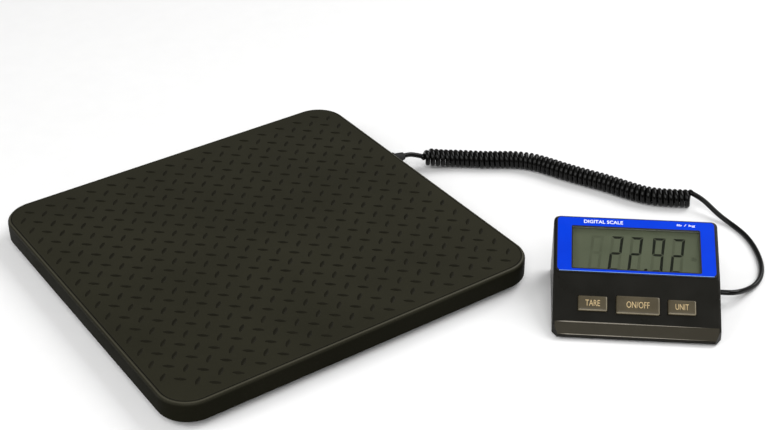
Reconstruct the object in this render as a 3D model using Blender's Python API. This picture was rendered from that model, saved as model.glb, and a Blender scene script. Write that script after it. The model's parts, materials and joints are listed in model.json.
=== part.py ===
"""Platform shipping scale with a separate display on a coiled cord.

Blender frame: metres, +Z up. The origin is the centre of the weighing surface, so the table
lies at z = -DECK_Z. +X runs along the long side of the platform, and the display stands in
front of it, towards -Y. Every piece is drawn in millimetres in one of two frames:
  scale_frame    table at z = 0 below the middle of the platform
  display_frame  origin at the middle of the display's front lower edge, +Y towards its rear
"""
import bisect
import math

import bpy
import bmesh
from mathutils import Matrix, Vector

for old in list(bpy.data.objects):
    bpy.data.objects.remove(old, do_unlink=True)

# ---------------------------------------------------------------- shared sizes (mm)
MM = 0.001                 # metres in a millimetre
GAP = 0.3                  # clearance left between neighbouring pieces

# platform
DECK_X, DECK_Y = 310.0, 296.0
DECK_R = 25.0              # corner radius in plan
DECK_Z = 23.0              # height of the weighing surface
SKIRT_Z = 7.0              # lower edge of the skirt
EDGE_R = 3.2               # rolled edge between deck and skirt
COVER_T = 1.2              # sheet thickness of the cover
PAN_T = 0.8                # sheet thickness of the base pan
PAN_Z = 8.0                # underside of the base pan
PAN_RIM_Z = 9.5            # upper edge of the base pan
FOOT_X, FOOT_Y = 117.0, 110.0
EAR_OUT = 31.0             # pan screw, from the foot's centre towards the middle
CELL_Z0, CELL_Z1 = 13.0, 16.0
BRACKET_Z0, BRACKET_Z1 = CELL_Z1 + GAP, DECK_Z - COVER_T - GAP
CORD_EXIT_Y, CORD_EXIT_Z = 45.0, 14.6

# display: (y, z) corners of the case's side profile
DISP_AT = (166.0, -246.0)  # middle of the front lower edge, in the scale's frame
DISP_TURN = -39.6          # degrees about +Z
CASE_W = 121.6
HALF = CASE_W / 2
FRONT_BOT = (0.0, 3.0)
STEP = (9.1, 10.1)         # top of the front lip, foot of the key face
CREASE = (41.2, 30.0)      # key face meets label face
TOP = (88.2, 50.8)
REAR_Y = 88.8
RIM_R = 1.8                # rounding of the upper shell's rim
STEP_R, CREASE_R = 2.6, 7.0
REAR_R = 4.2               # rear corners of the upper shell in plan
SPLIT_Z = 3.8              # parting line between the display shells
WALL = 2.2
BASE_Z = 1.6
POSTS = [(side * 53.6, y) for side in (-1, 1) for y in (28.0, 77.0)]
PADS = [(side * 42.0, y) for side in (-1, 1) for y in (10.0, 81.5)]
LABEL = (117.4, 1.2, 49.9)         # width, lower and upper edge up the slope
WINDOW = (93.5, 5.1, 41.2)
KEY_ROW = 14.6                     # row centre, measured up the key face
KEY_OUT = 1.9                      # how far the keys stand out of the face
KEYS = {                           # centre across, width, height
    "tare": (-31.9, 21.0, 11.4),
    "on_off": (0.8, 31.2, 13.8),
    "unit": (32.5, 20.0, 11.2),
}
BATTERY = (48.5, 26.5, 17.5)
BAY_Y = 57.0                       # front edge of the battery door
DOOR_HALF = 24.7
JACK_X, JACK_Z = -40.0, 19.0
CORD_IN_Y, CORD_IN_Z = 54.0, 10.15     # where the cord enters the side wall
CORD_HOLE_R = 3.9                  # hole for either cord bush

# cord, in the scale's frame
CORD_R = 1.9
COIL_R = 5.6               # radius of the cord's centreline in the coil
COIL_PITCH = 4.25
COIL_SEG = 7               # points per turn
TURN_CLEARANCE = 0.15      # between turns on the inner side of a bend
ROUTE_STEP = 0.25
BEND_REACH = 28            # route steps to either side for measuring curvature
COIL_Z = COIL_R + CORD_R + 0.1
LEAD_IN_ROUTE = [          # x, y, z from inside the platform to the coil
    (28, 2, 12.6), (60, 14, 11.6), (100, 34, 12.4),
    (138, CORD_EXIT_Y, CORD_EXIT_Z), (150, CORD_EXIT_Y, CORD_EXIT_Z),
    (162, CORD_EXIT_Y, CORD_EXIT_Z), (168, CORD_EXIT_Y, CORD_EXIT_Z),
    (174, CORD_EXIT_Y - 0.5, CORD_EXIT_Z - 0.4),
]
COIL_ROUTE = [             # x, y, z of the coil's axis
    (182, 40, 11.5), (196, 31, 9.0), (212, 22.5, COIL_Z), (229, 7, COIL_Z),
    (246, -3, COIL_Z), (259.5, -17, COIL_Z), (267, -37, COIL_Z), (276, -58, COIL_Z),
    (286.5, -77, COIL_Z), (293.5, -97, COIL_Z), (301, -113.5, COIL_Z),
    (312.5, -125, COIL_Z), (327, -136.5, COIL_Z),
]
TAIL_ROUTE = [             # x, y, z from the coil towards the display
    (331, -146.5, 10.6), (331.3, -158, 6.6), (332.5, -168, 3.4), (333, -179, 2.2),
    (331.5, -192, 2.2), (327, -205, 2.2), (320, -218, 2.2), (312, -229.5, 2.2),
    (303, -238.5, 2.2), (293, -245, 2.4), (282, -248.5, 3.2), (270, -251, 6.4),
]
TAIL_ENDS = (13.5, 8, 1, -5, -11)  # last cord points, outwards from the display's wall

# ---------------------------------------------------------------- materials
MATERIALS = {              # base colour, roughness, metallic
    "deck_black": ((0.012, 0.011, 0.009), 0.42, 0.0),
    "pan_steel": ((0.03, 0.03, 0.03), 0.5, 0.3),
    "foot_plastic": ((0.02, 0.02, 0.02), 0.55, 0.0),
    "rubber": ((0.014, 0.014, 0.014), 0.85, 0.0),
    "cell_steel": ((0.55, 0.56, 0.58), 0.35, 1.0),
    "bracket_plastic": ((0.05, 0.05, 0.05), 0.5, 0.0),
    "board_green": ((0.01, 0.13, 0.05), 0.45, 0.0),
    "lead_grey": ((0.25, 0.25, 0.25), 0.6, 0.0),
    "screw_steel": ((0.6, 0.6, 0.6), 0.3, 1.0),
    "cord_black": ((0.008, 0.008, 0.008), 0.35, 0.0),
    "case_black": ((0.012, 0.012, 0.011), 0.38, 0.0),
    "label_blue": ((0.002, 0.055, 0.75), 0.35, 0.0),
    "lens_clear": ((0.9, 0.93, 0.92), 0.05, 0.0),
    "lcd_glass": ((0.09, 0.10, 0.07), 0.2, 0.0),
    "holder_white": ((0.7, 0.7, 0.68), 0.5, 0.0),
    "zebra_pink": ((0.6, 0.35, 0.35), 0.7, 0.0),
    "key_grey": ((0.11, 0.09, 0.05), 0.5, 0.0),
    "switch_metal": ((0.45, 0.45, 0.43), 0.4, 0.8),
    "battery_case": ((0.35, 0.30, 0.10), 0.35, 0.6),
    "snap_black": ((0.02, 0.02, 0.02), 0.5, 0.0),
}


def add_material(name, colour, roughness, metallic):
    material = bpy.data.materials.new(name)
    material.use_nodes = True
    inputs = material.node_tree.nodes["Principled BSDF"].inputs
    inputs["Base Color"].default_value = (*colour, 1.0)
    inputs["Roughness"].default_value = roughness
    inputs["Metallic"].default_value = metallic
    return material


materials = {name: add_material(name, *look) for name, look in MATERIALS.items()}


# ---------------------------------------------------------------- objects
def add_frame(name, loc, turn=0.0, parent=None):
    frame = bpy.data.objects.new(name, None)
    frame.location = [c * MM for c in loc]
    frame.rotation_euler = (0, 0, math.radians(turn))
    frame.parent = parent
    bpy.context.scene.collection.objects.link(frame)
    return frame


def add_piece(bm, name, material, parent, origin=(0, 0, 0), smooth=None):
    """Object from a bmesh drawn in the parent's mm; edges sharper than smooth degrees stay."""
    bmesh.ops.recalc_face_normals(bm, faces=bm.faces[:])
    bmesh.ops.transform(bm, matrix=Matrix.Translation([-c for c in origin]), verts=bm.verts[:])
    bmesh.ops.scale(bm, vec=(MM, MM, MM), verts=bm.verts[:])
    mesh = bpy.data.meshes.new(name)
    bm.to_mesh(mesh)
    bm.free()
    piece = bpy.data.objects.new(name, mesh)
    piece.location = [c * MM for c in origin]
    piece.parent = parent
    bpy.context.scene.collection.objects.link(piece)
    if material:
        mesh.materials.append(materials[material])
    if smooth:
        mesh.shade_smooth()
        mesh.set_sharp_from_angle(angle=math.radians(smooth))
    return piece


def combine(piece, bm, name, operation="DIFFERENCE"):
    """Cut a hidden helper solid out of a piece, or join it on with UNION."""
    helper = add_piece(bm, name, None, piece.parent)
    helper.hide_render = True
    helper.display_type = "WIRE"
    modifier = piece.modifiers.new(name, "BOOLEAN")
    modifier.operation = operation
    modifier.solver = "EXACT"
    modifier.object = helper


scale_frame = add_frame("scale_frame", (0, 0, -DECK_Z))
display_frame = add_frame("display_frame", (*DISP_AT, 0), DISP_TURN, scale_frame)


# ---------------------------------------------------------------- solids (added to bm if given)
def loft(rings, close=False, bm=None):
    """Skin through rings of equal size; the ends are capped unless it closes on itself."""
    bm = bm or bmesh.new()
    loops = [[bm.verts.new(p) for p in ring] for ring in rings]
    size = len(loops[0])
    pairs = list(zip(loops, loops[1:]))
    if close:
        pairs.append((loops[-1], loops[0]))
    for a, b in pairs:
        for i in range(size):
            j = (i + 1) % size
            bm.faces.new((a[i], a[j], b[j], b[i]))
    if not close:
        bm.faces.new(loops[0])
        bm.faces.new(list(reversed(loops[-1])))
    return bm


def rounded_rect(width, depth, radius, z, seg=6, inset=0.0, cx=0.0, cy=0.0):
    """Rounded rectangle ring in plan."""
    r = max(radius - inset, 0.3)
    x_out = width / 2 - inset - r
    y_out = depth / 2 - inset - r
    ring = []
    for sx, sy, start in ((1, 1, 0), (-1, 1, 90), (-1, -1, 180), (1, -1, 270)):
        for k in range(seg + 1):
            a = math.radians(start + 90 * k / seg)
            ring.append((cx + sx * x_out + r * math.cos(a), cy + sy * y_out + r * math.sin(a), z))
    return ring


def box(xs, ys, zs, bm=None):
    (x0, x1), (y0, y1) = xs, ys
    return prism([(x0, y0), (x1, y0), (x1, y1), (x0, y1)], *zs, bm)


def prism(outline, z0, z1, bm=None):
    return loft([[(x, y, z) for x, y in outline] for z in (z0, z1)], bm=bm)


def circle(radius, seg):
    angles = [math.tau * k / seg for k in range(seg)]
    return [(radius * math.cos(a), radius * math.sin(a)) for a in angles]


def rod(radius, low, high):
    """Lathe profile of a plain cylinder."""
    return [(0, low), (radius, low), (radius, high), (0, high)]


def lathe(profile, seg, centre, axis="Z", bm=None):
    """Turned solid from (radius, height along the axis) pairs.

    A closed profile off the axis gives a ring, one that starts and ends at radius 0 a plug.
    """
    def place(a, b, h):
        offset = {"X": (h, a, b), "Y": (a, h, b), "Z": (a, b, h)}[axis]
        return tuple(c + d for c, d in zip(centre, offset))
    plug = profile[0][0] == 0 and profile[-1][0] == 0
    skin = profile[1:-1] if plug else profile
    return loft([[place(a, b, h) for a, b in circle(r, seg)] for r, h in skin], not plug, bm)


def sweep(points, radius, seg=6):
    """Round bar along a list of points, on a frame carried without twist."""
    pts = [Vector(p) for p in points]
    last = len(pts) - 1
    tangents = [(pts[min(i + 1, last)] - pts[max(i - 1, 0)]).normalized()
                for i in range(last + 1)]
    side = tangents[0].orthogonal().normalized()
    rings = []
    for i, (p, t) in enumerate(zip(pts, tangents)):
        if i:
            side = tangents[i - 1].rotation_difference(t) @ side
            side = (side - t * side.dot(t)).normalized()
        up = t.cross(side)
        rings.append([tuple(p + a * side + b * up) for a, b in circle(radius, seg)])
    return loft(rings)


def round_edges(bm, pick, offset, seg):
    edges = [e for e in bm.edges if pick(e)]
    bmesh.ops.bevel(bm, geom=edges, offset=offset, offset_type="OFFSET", segments=seg,
                    profile=0.5, affect="EDGES", clamp_overlap=True)


# ---------------------------------------------------------------- curves
def bspline(control, count):
    """Uniform cubic B-spline that starts and ends on its end points."""
    c = [Vector(p) for p in control]
    c = [2 * c[0] - c[1]] + c + [2 * c[-1] - c[-2]]
    spans = len(c) - 3
    points = []
    for k in range(count + 1):
        u = spans * k / count
        i = min(int(u), spans - 1)
        t = u - i
        weights = ((1 - t) ** 3 / 6, (3 * t ** 3 - 6 * t ** 2 + 4) / 6,
                   (-3 * t ** 3 + 3 * t ** 2 + 3 * t + 1) / 6, t ** 3 / 6)
        points.append(sum((w * c[i + j] for j, w in enumerate(weights)), Vector()))
    return points


def resample(points, step):
    """Points at equal arc length; returns the points and the length."""
    run = [0.0]
    for a, b in zip(points, points[1:]):
        run.append(run[-1] + (b - a).length)
    length = run[-1]
    count = max(2, round(length / step))
    even = []
    i = 0
    for k in range(count + 1):
        s = length * k / count
        while i < len(points) - 2 and run[i + 1] < s:
            i += 1
        f = (s - run[i]) / max(run[i + 1] - run[i], 1e-9)
        even.append(points[i].lerp(points[i + 1], min(max(f, 0.0), 1.0)))
    return even, length


# ================================================================ platform
def deck_loft(stations):
    """Solid through deck outlines at (inset, z) stations."""
    return loft([rounded_rect(DECK_X, DECK_Y, DECK_R, z, inset=d) for d, z in stations])


def skirt_profile(inset, seg):
    """(inset, z) points up the skirt and round the rolled edge, moved inwards by inset."""
    r = EDGE_R - inset
    angles = [math.radians(90 * k / seg) for k in range(seg + 1)]
    return [(inset, SKIRT_Z)] + [(inset + r * (1 - math.cos(a)),
                                  DECK_Z - inset - r * (1 - math.sin(a))) for a in angles]


def build_cover():
    """One drawn tray with a rolled edge, open below, with a hole for the cord."""
    bm = deck_loft(skirt_profile(COVER_T, 3)[::-1] + skirt_profile(0.0, 4))
    cover = add_piece(bm, "platform_cover", "deck_black", scale_frame, smooth=40)
    hole = lathe(rod(CORD_HOLE_R, -8, 8), 20, (DECK_X / 2, CORD_EXIT_Y, CORD_EXIT_Z), "X")
    combine(cover, hole, "cut_cord_exit")


def build_pan():
    """Pan closing the underside, with round openings for the feet and their screws."""
    outer = COVER_T + 0.4
    inner = outer + PAN_T
    chamfer = 0.6
    bm = deck_loft([(inner + 1.0, PAN_Z + PAN_T), (inner, PAN_RIM_Z), (outer, PAN_RIM_Z),
                    (outer, PAN_Z + chamfer), (outer + chamfer, PAN_Z)])
    pan = add_piece(bm, "base_pan", "pan_steel", scale_frame, smooth=30)
    bm = bmesh.new()
    for sx in (-1, 1):
        for sy in (-1, 1):
            lathe(rod(19.5, 4, 12), 24, (sx * FOOT_X, sy * FOOT_Y, 0), bm=bm)
            lathe(rod(1.9, 4, 12), 10, (sx * (FOOT_X - EAR_OUT), sy * FOOT_Y, 0), bm=bm)
    combine(pan, bm, "cut_pan_openings")


# (radius, z) profiles
FOOT_PAD = [(0, 0), (14.2, 0), (15.0, 0.8), (15.0, 2.6), (0, 2.6)]
FOOT = [(0, 2.9), (17.0, 2.9), (17.0, 5.6), (15.0, 7.0), (7.0, 7.6), (7.0, 12.2), (0, 12.2)]
PAN_SCREW = [(0, 6.2), (2.0, 6.2), (3.0, 6.7), (3.0, 7.7), (1.5, 7.7), (1.5, 19.2), (0, 19.2)]
# (x, y) outlines round the foot's centre: for the cell +y points to the platform's middle,
# for the bracket +x points away from it
CELL_OUTLINE = [
    (-17, -17), (-10, -17), (-10, 9), (-7.5, 9), (-7.5, -17), (7.5, -17),
    (7.5, 9), (10, 9), (10, -17), (17, -17), (17, 17), (-17, 17),
]
BRACKET_OUTLINE = [
    (-22, -22), (22, -22), (22, 22), (-22, 22), (-22, 8), (-36, 8), (-36, -8), (-22, -8),
]


def build_foot(tag, x, y):
    """Rubber pad, and a foot whose stem stands below the middle tongue of the load cell."""
    for name, profile, material in (("foot_pad_", FOOT_PAD, "rubber"),
                                    ("foot_", FOOT, "foot_plastic")):
        bm = lathe(profile, 24, (x, y, 0))
        add_piece(bm, name + tag, material, scale_frame, (x, y, 0), 35)


def build_cell(tag, x, y, sy):
    """E-shaped load cell, its prongs pointing away from the middle of the platform."""
    bm = prism([(x + a, y - sy * b) for a, b in CELL_OUTLINE], CELL_Z0, CELL_Z1)
    add_piece(bm, "load_cell_" + tag, "cell_steel", scale_frame, (x, y, CELL_Z0))


def build_bracket(tag, x, y, sx):
    """Bracket with a relief over the tongue and an ear for the pan screw."""
    bm = prism([(x + sx * a, y + b) for a, b in BRACKET_OUTLINE], BRACKET_Z0, BRACKET_Z1)
    bracket = add_piece(bm, "cell_bracket_" + tag, "bracket_plastic", scale_frame,
                        (x, y, BRACKET_Z0))
    below = BRACKET_Z0 - 1
    bm = box((x - 9.5, x + 9.5), (y - 18.5, y + 18.5), (below, BRACKET_Z1 - 1.5))
    lathe(rod(1.85, below, BRACKET_Z1 - 1.2), 10, (x - sx * EAR_OUT, y, 0), bm=bm)
    combine(bracket, bm, "cut_bracket_" + tag)


def build_pan_screw(tag, x, y):
    """Screw from below: pan head, shank up into the bracket's ear."""
    bm = lathe(PAN_SCREW, 12, (x, y, 0))
    add_piece(bm, "pan_screw_" + tag, "screw_steel", scale_frame, (x, y, PAN_SCREW[0][1]), 35)


def build_cell_lead(tag, x, y, sx, sy):
    """Strain-gauge lead from the cell's spine to the junction board."""
    start = Vector((x - sx * 5, y - sy * 18.4, 14.4))
    path = bspline([start, start + Vector((-sx * 6, -sy * 16, -1.0)), (sx * 62, sy * 52, 11.2),
                    (sx * 34, sy * 22, 12.6), (sx * 20, sy * 11, 13.6)], 12)
    add_piece(sweep(path, 0.9), "cell_lead_" + tag, "lead_grey", scale_frame, smooth=50)


def build_corners():
    for y_word, sy in (("front", -1), ("rear", 1)):
        for x_word, sx in (("left", -1), ("right", 1)):
            tag = y_word + "_" + x_word
            x, y = sx * FOOT_X, sy * FOOT_Y
            build_foot(tag, x, y)
            build_cell(tag, x, y, sy)
            build_bracket(tag, x, y, sx)
            build_pan_screw(tag, x - sx * EAR_OUT, y)
            build_cell_lead(tag, x, y, sx, sy)


def build_junction_board():
    bm = box((-26, 26), (-16, 16), (10.6, 12.2))
    add_piece(bm, "junction_board", "board_green", scale_frame)


def build_platform_bush():
    """Cord bush clipped into the skirt, with a tapering sleeve outside."""
    profile = [            # radius, distance outwards from the skirt
        (2.3, -6.0), (4.4, -6.0), (4.4, -COVER_T - GAP), (3.6, -COVER_T - GAP),
        (3.6, GAP), (6.0, GAP), (6.0, 2.2), (4.6, 3.0), (4.2, 7.0), (3.3, 11.5), (2.3, 11.5),
    ]
    bm = lathe(profile, 20, (DECK_X / 2, CORD_EXIT_Y, CORD_EXIT_Z), "X")
    add_piece(bm, "platform_cord_bush", "rubber", scale_frame, smooth=35)


# ================================================================ coiled cord
def curvature(route, step, i):
    """Curvature of the coil's route at point i, in 1/mm."""
    i = min(max(i, BEND_REACH), len(route) - 1 - BEND_REACH)
    before = route[i] - route[i - BEND_REACH]
    after = route[i + BEND_REACH] - route[i]
    return before.angle(after) / (BEND_REACH * step)


def turns_along(route, step):
    """Turns made up to each route point.

    The turns stay just clear of each other on the inner side of a bend and open outside it.
    """
    made = [0.0]
    for i in range(len(route) - 1):
        tight = (2 * CORD_R + TURN_CLEARANCE) / (1 - COIL_R * curvature(route, step, i))
        made.append(made[-1] + step / max(COIL_PITCH, tight))
    return made


def route_frame(route, made, share):
    """Point and cross directions of the route where the coil has made a share of its turns."""
    last = len(route) - 1
    want = min(max(share, 0.0), 1.0) * made[-1]
    i = min(max(bisect.bisect_right(made, want) - 1, 0), last - 1)
    f = min(max((want - made[i]) / (made[i + 1] - made[i]), 0.0), 1.0)
    tangent = (route[min(i + 7, last)] - route[max(i - 6, 0)]).normalized()
    side = Vector((0, 0, 1)).cross(tangent).normalized()
    return route[i].lerp(route[i + 1], f), side, tangent.cross(side)


def coil_points():
    """Helix round the route; its radius grows from nothing over the first turn and a half."""
    route, length = resample(bspline(COIL_ROUTE, 240), ROUTE_STEP)
    made = turns_along(route, length / (len(route) - 1))
    turns = round(made[-1])
    count = turns * COIL_SEG
    points = []
    for k in range(count + 1):
        share = k / count
        p, side, up = route_frame(route, made, share)
        a = math.radians(90) + math.tau * turns * (share - 1)
        grow = min(1.0, k / (1.5 * COIL_SEG))
        grow = grow * grow * (3 - 2 * grow)
        points.append(p + COIL_R * grow * (math.cos(a) * side + math.sin(a) * up))
    return points


def build_cord():
    coil = coil_points()
    lead_in = bspline(LEAD_IN_ROUTE + [coil[0]], 24)
    turn = math.radians(DISP_TURN)
    across = Vector((math.cos(turn), math.sin(turn), 0))
    rearward = Vector((-math.sin(turn), math.cos(turn), 0))
    entry = Vector((*DISP_AT, CORD_IN_Z)) + across * HALF + rearward * CORD_IN_Y
    ends = [entry + across * d for d in TAIL_ENDS]
    tail = bspline([coil[-1]] + TAIL_ROUTE + ends, 44)
    bm = sweep(lead_in[:-1] + coil + tail[1:], CORD_R)
    add_piece(bm, "coiled_cord", "cord_black", scale_frame, smooth=60)


# ================================================================ display: sloped faces
def slope_frame(low, high):
    """Lower edge, direction up the slope and outward normal, each as (y, z)."""
    dy, dz = high[0] - low[0], high[1] - low[1]
    length = math.hypot(dy, dz)
    return low, (dy / length, dz / length), (-dz / length, dy / length)


FACES = {"keys": slope_frame(STEP, CREASE), "label": slope_frame(CREASE, TOP)}
LABEL_NORMAL = FACES["label"][2]


def on(face, x, s, n):
    """Point on a sloped face: x across, s up the slope, n out of the face."""
    (y0, z0), (dy, dz), (ny, nz) = FACES[face]
    return (x, y0 + s * dy + n * ny, z0 + s * dz + n * nz)


def face_height(face, y):
    """z of a sloped face, or of its extension, at y."""
    (y0, z0), (dy, dz), _ = FACES[face]
    return z0 + (y - y0) * dz / dy


def face_box(face, x, half, s0, s1, n0, n1, bm=None):
    """Box on a sloped face, reaching half to either side of x."""
    corners = [(x - half, s0), (x + half, s0), (x + half, s1), (x - half, s1)]
    return loft([[on(face, a, s, n) for a, s in corners] for n in (n0, n1)], bm=bm)


def face_rect(face, width, s0, s1, radius, n, seg, x=0.0):
    """Rounded rectangle ring parallel to a sloped face."""
    ring = rounded_rect(width, s1 - s0, radius, 0, seg, cx=x, cy=(s0 + s1) / 2)
    return [on(face, a, s, n) for a, s, _ in ring]


# ================================================================ display: shells
def inset_profile(corners, radii, inset, seg):
    """Open side profile moved inwards with rounded corners, as (point, normal) pairs.

    It ends on its last rounded corner; the last segment only gives a direction.
    """
    lines = []
    for p, q in zip(corners, corners[1:]):
        length = math.hypot(q[0] - p[0], q[1] - p[1])
        t = ((q[0] - p[0]) / length, (q[1] - p[1]) / length)
        n = (-t[1], t[0])
        lines.append(((p[0] - n[0] * inset, p[1] - n[1] * inset), t, n))
    pairs = [(lines[0][0], lines[0][2])]
    for (p, t, n), (q, t2, n2), radius in zip(lines, lines[1:], radii):
        cross = t[0] * t2[1] - t[1] * t2[0]
        reach = ((q[0] - p[0]) * t2[1] - (q[1] - p[1]) * t2[0]) / cross
        r = max(radius - inset, 0.0)
        turn = math.acos(max(-1.0, min(1.0, n[0] * n2[0] + n[1] * n2[1])))
        reach -= r * math.tan(turn / 2)
        cy = p[0] + t[0] * reach - n[0] * r
        cz = p[1] + t[1] * reach - n[1] * r
        start = math.atan2(n[1], n[0])
        for k in range(seg + 1):
            a = start - turn * k / seg
            m = (math.cos(a), math.sin(a))
            pairs.append(((cy + m[0] * r, cz + m[1] * r), m))
    return pairs


def front_points(seg):
    """Arcs along both side rims, from the front foot to the crease."""
    front_slope = (STEP[1] - FRONT_BOT[1]) / (STEP[0] - FRONT_BOT[0])
    foot = (FRONT_BOT[0] - FRONT_BOT[1] / front_slope, 0.0)
    beyond_y = REAR_Y + 6
    corners = [foot, STEP, CREASE, (beyond_y, face_height("label", beyond_y))]
    points = []
    for (y, z), m in inset_profile(corners, [STEP_R, CREASE_R], RIM_R, seg):
        for side in (-1, 1):
            for k in range(seg + 1):
                a = math.radians(90 * k / seg)
                out = RIM_R * math.cos(a)
                points.append((side * (HALF - RIM_R + RIM_R * math.sin(a)),
                               y + out * m[0], z + out * m[1]))
    return points


def rear_points(seg):
    """Arcs round both rear corners, from the label face over the rim and down to z = 0."""
    r = REAR_R - RIM_R
    z = face_height("label", REAR_Y - REAR_R)
    up = Vector((0, *LABEL_NORMAL))
    points = []
    for side in (-1, 1):
        for i in range(seg + 1):
            a = math.radians(90 * i / seg)
            out = Vector((side * math.cos(a), math.sin(a), 0))
            cx = side * (HALF - REAR_R) + r * out.x
            cy = REAR_Y - REAR_R + r * out.y
            cz = face_height("label", cy) - RIM_R / LABEL_NORMAL[1]
            for k in range(seg + 1):
                d = (out * (1 - k / seg) + up * (k / seg)).normalized()
                points.append((cx + RIM_R * d.x, cy + RIM_R * d.y, cz + RIM_R * d.z))
            points.append((cx + RIM_R * out.x, cy + RIM_R * out.y, 0.0))
    return points


def shell_hull(seg):
    """Wedge-shaped solid with a rounded rim: the hull of small arcs set round its corners."""
    bm = bmesh.new()
    for p in front_points(seg) + rear_points(seg):
        bm.verts.new(p)
    bmesh.ops.remove_doubles(bm, verts=bm.verts[:], dist=0.02)
    hull = bmesh.ops.convex_hull(bm, input=bm.verts[:], use_existing_faces=False)
    left_over = hull["geom_interior"] + hull["geom_unused"]
    spare = {g for g in left_over if isinstance(g, bmesh.types.BMVert)}
    bmesh.ops.delete(bm, geom=list(spare), context="VERTS")
    bmesh.ops.dissolve_limit(bm, angle_limit=math.radians(0.4), verts=bm.verts[:],
                             edges=bm.edges[:])
    return bm


def side_prism(profile):
    """Solid over a (y, z) side profile; profile is (half width, points)."""
    half, points = profile
    return loft([[(side * half, y, z) for y, z in points] for side in (-1, 1)])


def cut_front_corners(shell, tag):
    """Cut the shell's front corners off with a sloping plane."""
    bm = bmesh.new()
    out = HALF + 3
    for side in (-1, 1):
        loft([[(side * out, -3, z), (side * (HALF - a), -3, z), (side * out, b, z)]
              for z, a, b in ((-0.5, 6.3, 10.9), (9.5, 8.1, 13.6))], bm=bm)
    combine(shell, bm, "cut_front_corners_" + tag)


def screw_posts():
    """Posts that merge into the side walls and stop inside the sloped faces."""
    bm = bmesh.new()
    for x, y in POSTS:
        face = "keys" if y < CREASE[0] else "label"
        roof = face_height(face, y - 3.6) - 1.2
        lathe(rod(3.0, 4.2, roof), 14, (x, y, 0), bm=bm)
    return bm


def upper_openings():
    """Pilot holes in the posts, window, key openings and the cord's hole."""
    bm = bmesh.new()
    for x, y in POSTS:
        lathe(rod(1.6, 3, 13.2), 10, (x, y, 0), bm=bm)
    face_box("label", 0, 48.8, 3.3, 43.2, -6, 3, bm)
    play = 0.4
    for x, width, height in KEYS.values():
        reach = height / 2 + play
        face_box("keys", x, width / 2 + play, KEY_ROW - reach, KEY_ROW + reach, -6, 3, bm)
    return lathe(rod(CORD_HOLE_R, -8, 4), 16, (HALF, CORD_IN_Y, CORD_IN_Z), "X", bm)


def build_upper_case():
    """Upper shell: front lip, key face, label face and rounded rear corners."""
    upper = add_piece(shell_hull(3), "display_upper_case", "case_black", display_frame,
                      smooth=30)
    base = box((-80, 80), (-20, 120), (-20, SPLIT_Z + GAP))
    combine(upper, base, "cut_upper_base")
    drop = WALL / LABEL_NORMAL[1]          # wall thickness measured straight down
    front_y, rear_y = CREASE[0] + 0.6, REAR_Y - WALL
    cavity = [
        (2.2856, 2.0), (10.3, 8.25), (front_y, face_height("label", front_y) - drop),
        (rear_y - 1.0, face_height("label", rear_y - 1.0) - drop),
        (rear_y, 46.4), (rear_y, 2.0),
    ]
    combine(upper, side_prism((HALF - WALL, cavity)), "cut_upper_inside")
    combine(upper, screw_posts(), "add_posts", "UNION")
    combine(upper, upper_openings(), "cut_upper_openings")
    combine(upper, lathe(rod(4.8, -6, 4), 16, (JACK_X, REAR_Y, JACK_Z), "Y"), "cut_jack_hole")
    cut_front_corners(upper, "upper")


def locating_rim():
    """Upright rim that fits inside the upper shell's walls."""
    inset = WALL + GAP
    front, rear = 8.2, REAR_Y - inset
    low, high, thickness = SPLIT_Z - 0.4, 4.6, 1.2
    stations = ((0, low), (0, high), (thickness, high), (thickness, low))
    return loft([rounded_rect(2 * (HALF - inset), rear - front, 1.5, z, 2, d,
                              cy=(rear + front) / 2) for d, z in stations], close=True)


def lower_openings():
    """Battery door opening, and stepped screw holes."""
    half = DOOR_HALF + GAP
    bm = box((-half, half), (BAY_Y - GAP, REAR_Y + 3), (BASE_Z - 2, BASE_Z + 2.2))
    hole = [(0, 0), (3.2, 0), (3.2, 2.9), (1.6, 2.9), (1.6, 6), (0, 6)]
    for x, y in POSTS:
        lathe(hole, 14, (x, y, 0), bm=bm)
    return bm


def build_lower_case():
    """Lower shell: base plate with an inner locating rim and battery walls."""
    profile = [(1.4, BASE_Z), (0.3, 2.6), (1.0, SPLIT_Z), (REAR_Y, SPLIT_Z), (REAR_Y, BASE_Z)]
    bm = side_prism((HALF, profile))

    def rear_upright(edge):
        a, b = (v.co for v in edge.verts)
        return min(a.y, b.y) > REAR_Y - 0.1 and abs(a.z - b.z) > 1.5
    round_edges(bm, rear_upright, 4.0, 4)
    lower = add_piece(bm, "display_lower_case", "case_black", display_frame, smooth=30)
    cut_front_corners(lower, "lower")
    combine(lower, locating_rim(), "add_rim", "UNION")
    walls = box((-27.4, 27.4), (BAY_Y - 2.0, BAY_Y + BATTERY[1] + 1.4), (BASE_Z + 1, 15.0))
    combine(lower, walls, "add_battery_walls", "UNION")
    bay = box((-25.8, 25.8), (BAY_Y - 0.4, REAR_Y - WALL - 0.5), (BASE_Z + 1.2, 17))
    combine(lower, bay, "cut_battery_bay")
    combine(lower, lower_openings(), "cut_lower_openings")


# ================================================================ display: battery and jack
def build_battery_door():
    """Door flush in the base, with grip grooves across its underside."""
    bm = box((-DOOR_HALF, DOOR_HALF), (BAY_Y, REAR_Y - 0.1), (BASE_Z, BASE_Z + 1.8))
    door = add_piece(bm, "battery_door", "case_black", display_frame,
                     (0, (BAY_Y + REAR_Y) / 2, BASE_Z))
    bm = bmesh.new()
    for k in range(5):
        y = 76.0 + 2.2 * k
        box((-9, 9), (y, y + 1.0), (BASE_Z - 1, BASE_Z + 0.5), bm)
    combine(door, bm, "cut_door_grip")


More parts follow.
